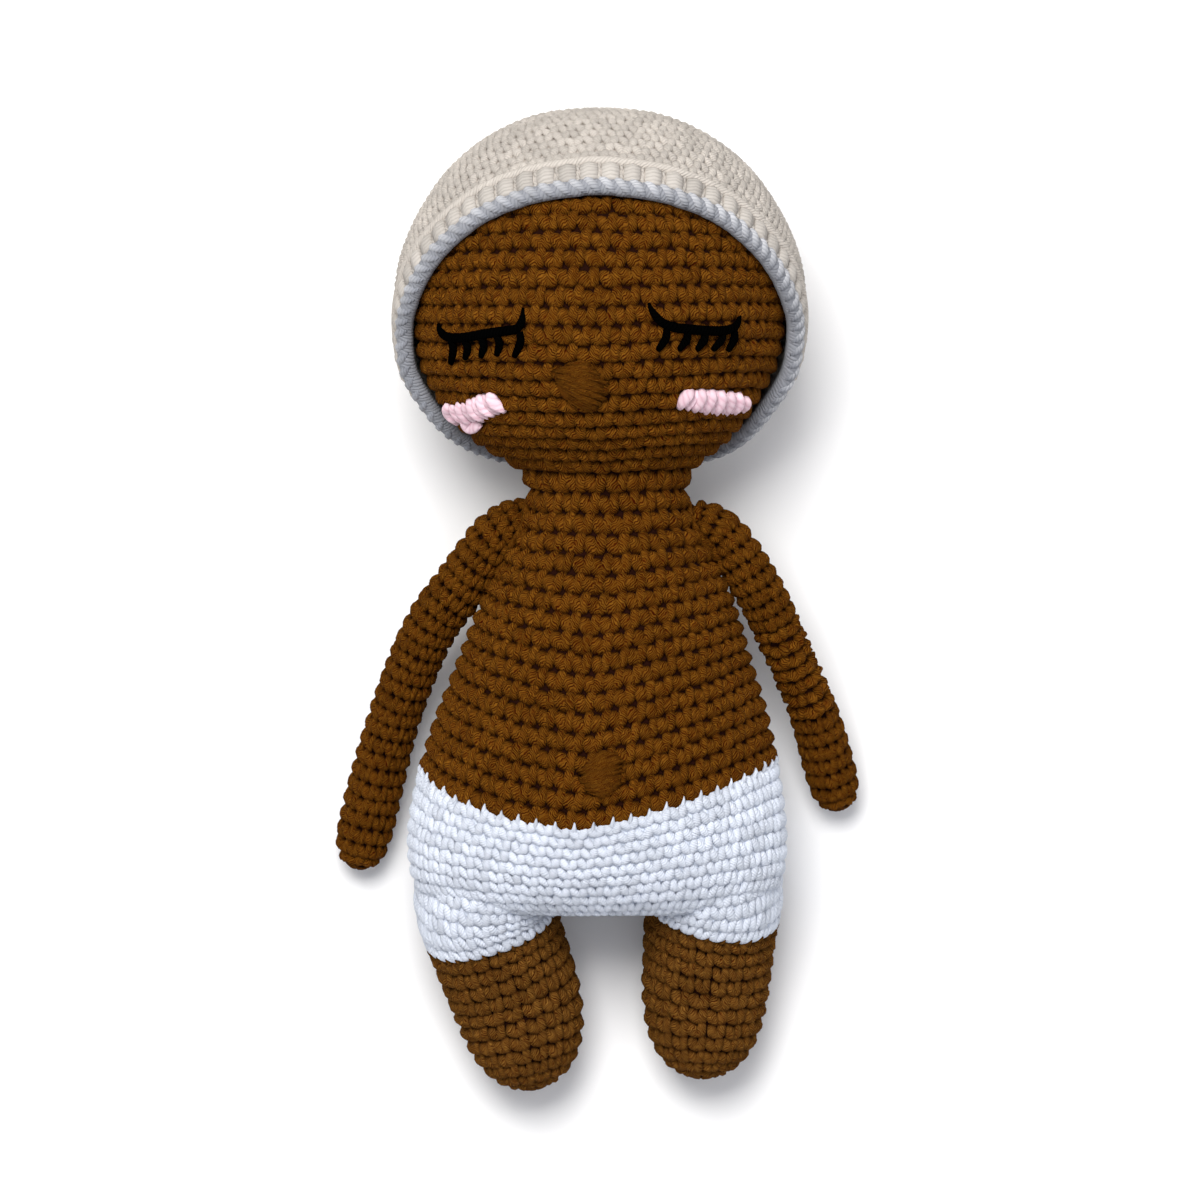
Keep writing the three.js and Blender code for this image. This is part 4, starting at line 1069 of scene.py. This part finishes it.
# The yarn that sews each arm on: a ring round the end of the arm, which stays below the neck
SEAM_OUT, SEAM_TOP_Y, SEAM_SUNK = 1.3, -1.2, 0.4
SEAM_THICK, SEAM_RIPPLE, SEAM_STITCHES, SEAM_POINTS = 0.85, 0.16, 24, 96
for side, limb in arms.items():
    shoulder = limb.line[0]
    away = math.copysign(1, shoulder[0])
    phi = np.linspace(0, 2 * math.pi, SEAM_POINTS + 1)[:-1]
    y = np.minimum(shoulder[1] + (limb.wide + SEAM_OUT) * np.cos(phi), SEAM_TOP_Y)
    z = shoulder[2] + (limb.wide + SEAM_OUT) * np.sin(phi)
    x_mid, z_mid, wide, deep = trunk_at(y)
    reach = wide * np.sqrt(np.clip(1 - ((z - z_mid) / deep) ** 2, 0.02, 1)) - SEAM_SUNK
    ring = np.stack([x_mid + away * reach, y, z], 1)
    seam = swept(ring, SEAM_THICK + SEAM_RIPPLE * np.sin(SEAM_STITCHES * phi), closed=True,
                 up=(away, 0, 0.01))
    piece(f"{side}_shoulder_whipping", [(0, seam)], [brown_yarn], "torso",
          [f"{side}_shoulder_seam"])

# Bonnet, worked from its own crown at the back to the mouth round the face. Its crown stands over the
# head's, and its wall keeps off the head by a distance that changes with the height.
CAP_TOP_OUT, CAP_ASIDE = 3.9, 0.1
CAP_OUT_AT, CAP_OUT = [0, 12, 34, 60, 76, 96], [3.0, 3.6, 5.6, 5.4, 4.6, 4.2]
# The wall is looked for between these distances from the head's middle, by halving what is between them
NEAREST_WALL, FURTHEST_WALL, HALVINGS = 5.0, 75.0, 24
# Angles from the pole between which the bonnet's lines are drawn, past its mouth
SWING_FROM, SWING_TO = 0.01, 2.9
POLE_UP, POLE_BACK = 0.79, -0.61
pole = np.array([0, POLE_UP, POLE_BACK]) / math.hypot(POLE_UP, POLE_BACK)
level_x = np.array([1.0, 0, 0])
level_y = np.cross(pole, level_x)
# The fine rounds end at the raised band, which ends a little behind the mouth
CAP_ROW, CAP_STITCH, CAP_STITCH_SIZE = 4.3, 4.7, 0.85
BAND_WIDE, BLOCK_STITCH, MOUTH_GAP = 6.6, 5.9, 2.5
WALL_POINTS, WALL_OUTSIDE, WALL_INSIDE = 96, -1.2, -3.7


def head_reach(headings):
    """Where rays from the head's middle leave the head let out by some millimetres"""
    low, high = np.full(headings.shape[:-1], NEAREST_WALL), np.full(headings.shape[:-1], FURTHEST_WALL)
    tall = (CROWN - HEAD_MIDDLE[1] + CAP_TOP_OUT) / (CROWN - HEAD_MIDDLE[1])
    for _ in range(HALVINGS):
        mid = (low + high) / 2
        spot = HEAD_MIDDLE + headings * mid[..., None]
        y = HEAD_MIDDLE[1] + (spot[..., 1] - HEAD_MIDDLE[1]) / tall
        x_mid, z_mid, wide, deep = trunk_at(y)
        let_out = np.interp(y, CAP_OUT_AT, CAP_OUT)
        grown = np.hypot((spot[..., 0] - x_mid - CAP_ASIDE) / (wide + let_out),
                         (spot[..., 2] - z_mid) / (deep + let_out))
        outside = (grown > 1) | (y > CROWN - 0.05)
        high = np.where(outside, mid, high)
        low = np.where(outside, low, mid)
    return HEAD_MIDDLE + headings * ((low + high) / 2)[..., None]


def cap_rings():
    """The bonnet's rounds: fine ones as far as the band, and one at the mouth"""
    swing = np.linspace(SWING_FROM, SWING_TO, 500)[:, None]
    angle = turns[None, :]
    headings = (np.cos(swing)[..., None] * pole + np.sin(swing)[..., None]
                * (np.cos(angle)[..., None] * level_x + np.sin(angle)[..., None] * level_y))
    spots = head_reach(headings)
    ends = np.argmax(under_cap(spots) < MOUTH_GAP, axis=0)
    lines = [spots[:last + 1, i] for i, last in enumerate(ends)]
    runs = [run_along(line) for line in lines]
    fine = int(round((max(run[-1] for run in runs) - BAND_WIDE) / CAP_ROW))
    rounds = []
    for k in range(fine + 2):
        ring = []
        for line, run in zip(lines, runs):
            at = (run[-1] - BAND_WIDE) * k / fine if k <= fine else run[-1]
            ring.append(line_at(line, run, at))
        rounds.append(np.array(ring))
    return rounds


cap_places = cap_rings()
fine_rounds = Rounds(cap_places[:-1], CAP_STITCH, drift=0.3)
band = Rounds(cap_places[-2:], BLOCK_STITCH)
# A raised stitch of the band, wrapped in yarn, and the thread that shows between two of them
BLOCK = [(-0.05, -0.06, -2.4, 0.36, 0.9), (-0.05, 0.1, -1.35, 0.44, 1.3), (-0.05, 0.35, -1.0, 0.45, 1.45),
         (-0.05, 0.62, -1.0, 0.45, 1.45), (-0.05, 0.88, -1.35, 0.44, 1.3), (-0.05, 1.05, -2.4, 0.36, 0.9)]
BETWEEN = [(0.45, -0.06, -2.2, 0.1, 1.0), (0.45, 0.22, -1.5, 0.12, 1.1), (0.45, 0.5, -1.95, 0.1, 0.9),
           (0.45, 0.78, -1.5, 0.12, 1.1), (0.45, 1.05, -2.2, 0.1, 1.0)]
block = unit_of([BLOCK, BETWEEN])


def cap_shell():
    """The bonnet's wall under its stitches: an outer and an inner skin joined at the mouth"""
    u = np.arange(WALL_POINTS) / WALL_POINTS
    whole = Rounds(cap_places, CAP_STITCH)
    levels = range(whole.rows + 1)
    skins = [(k, WALL_OUTSIDE) for k in levels] + [(k, WALL_INSIDE) for k in levels[::-1]]
    return closed_tube([whole.point(u, np.full(WALL_POINTS, float(k)), np.full(WALL_POINTS, height))
                        for k, height in skins])


# The corded edge lies inside the mouth and a little before it
ROPE_IN, ROPE_FORWARD = 2.6, 0.9
ROPE_CORE, ROPE_STRANDS, ROPE_RADIUS = 2.2, 84, 1.55
STRAND_TURNS = np.linspace(-0.75, 0.95, 11)
STRAND_SLANT, STRAND_WRAP = 0.75, 1.9
# A strand tapers at both ends, and its end against the brow is painted into shade, as the whole core is
CORD_AT, CORD_RADII = [-0.75, -0.3, 0.5, 0.95], [0.6, 1.25, 1.2, 0.6]
SHADE_AT, SHADE_RISE, CORE_IN_PAINTED_SHADE = [-0.1, 0.65], [1, 0.1], 0.3
rim = evened(cap_places[-1])
rim_out = directions(rim - HEAD_MIDDLE)
rim_forward = np.cross(directions(np.roll(rim, -1, 0) - np.roll(rim, 1, 0)), rim_out)
if rim_forward[:, 2].mean() < 0:
    rim_forward = -rim_forward
rim_middle = rim - rim_out * ROPE_IN + rim_forward * ROPE_FORWARD


def rim_rope():
    """The corded edge: slanting strands laid round it side by side"""
    core = list(swept(rim_middle, ROPE_CORE, closed=True))
    # The core is painted in shade
    core[5] = np.full(len(core[0]), CORE_IN_PAINTED_SHADE)
    parts = [(0, core)]
    for k in range(ROPE_STRANDS):
        centre = (k + 0.5 + STRAND_TURNS * STRAND_SLANT) / ROPE_STRANDS * len(rim)
        i = np.floor(centre).astype(int)
        f = (centre - i)[:, None]
        a, b = i % len(rim), (i + 1) % len(rim)
        mid, out, ahead = (v[a] * (1 - f) + v[b] * f for v in (rim_middle, rim_out, rim_forward))
        angle = (STRAND_TURNS * STRAND_WRAP)[:, None]
        path = mid + ROPE_RADIUS * (out * np.cos(angle) + ahead * np.sin(angle))
        radii = np.interp(STRAND_TURNS, CORD_AT, CORD_RADII)
        strand = list(swept(path, radii, sides=7, up=tuple(out.mean(0))))
        # Painted shade towards the strand's end against the brow
        strand[5] = np.repeat(np.interp(STRAND_TURNS, SHADE_AT, SHADE_RISE), 7)
        parts.append((0, strand))
    return parts


# The ridge where the fine rounds meet the raised band
RIDGE_SUNK, RIDGE_THICK = 0.9, 1.2
ridge = evened(cap_places[-2])
piece("bonnet_rounds", [
    (0, stitched(fine_rounds, fine_crochet, size=CAP_STITCH_SIZE)),
    (2, stitched(band, block, untidy=0.02)),
    (0, swept(ridge - directions(ridge - HEAD_MIDDLE) * RIDGE_SUNK, RIDGE_THICK, closed=True)),
    (1, cap_shell())], [cap_yarn, cap_back, block_yarn], "cap", ["cap_crown"])
# The edge's cool grey is painted shade
piece("bonnet_edging", rim_rope(), [edge_yarn_painted_shade], "cap", ["cap_edging"])

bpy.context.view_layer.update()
for made, first, second, start, end in bending:
    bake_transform(made)
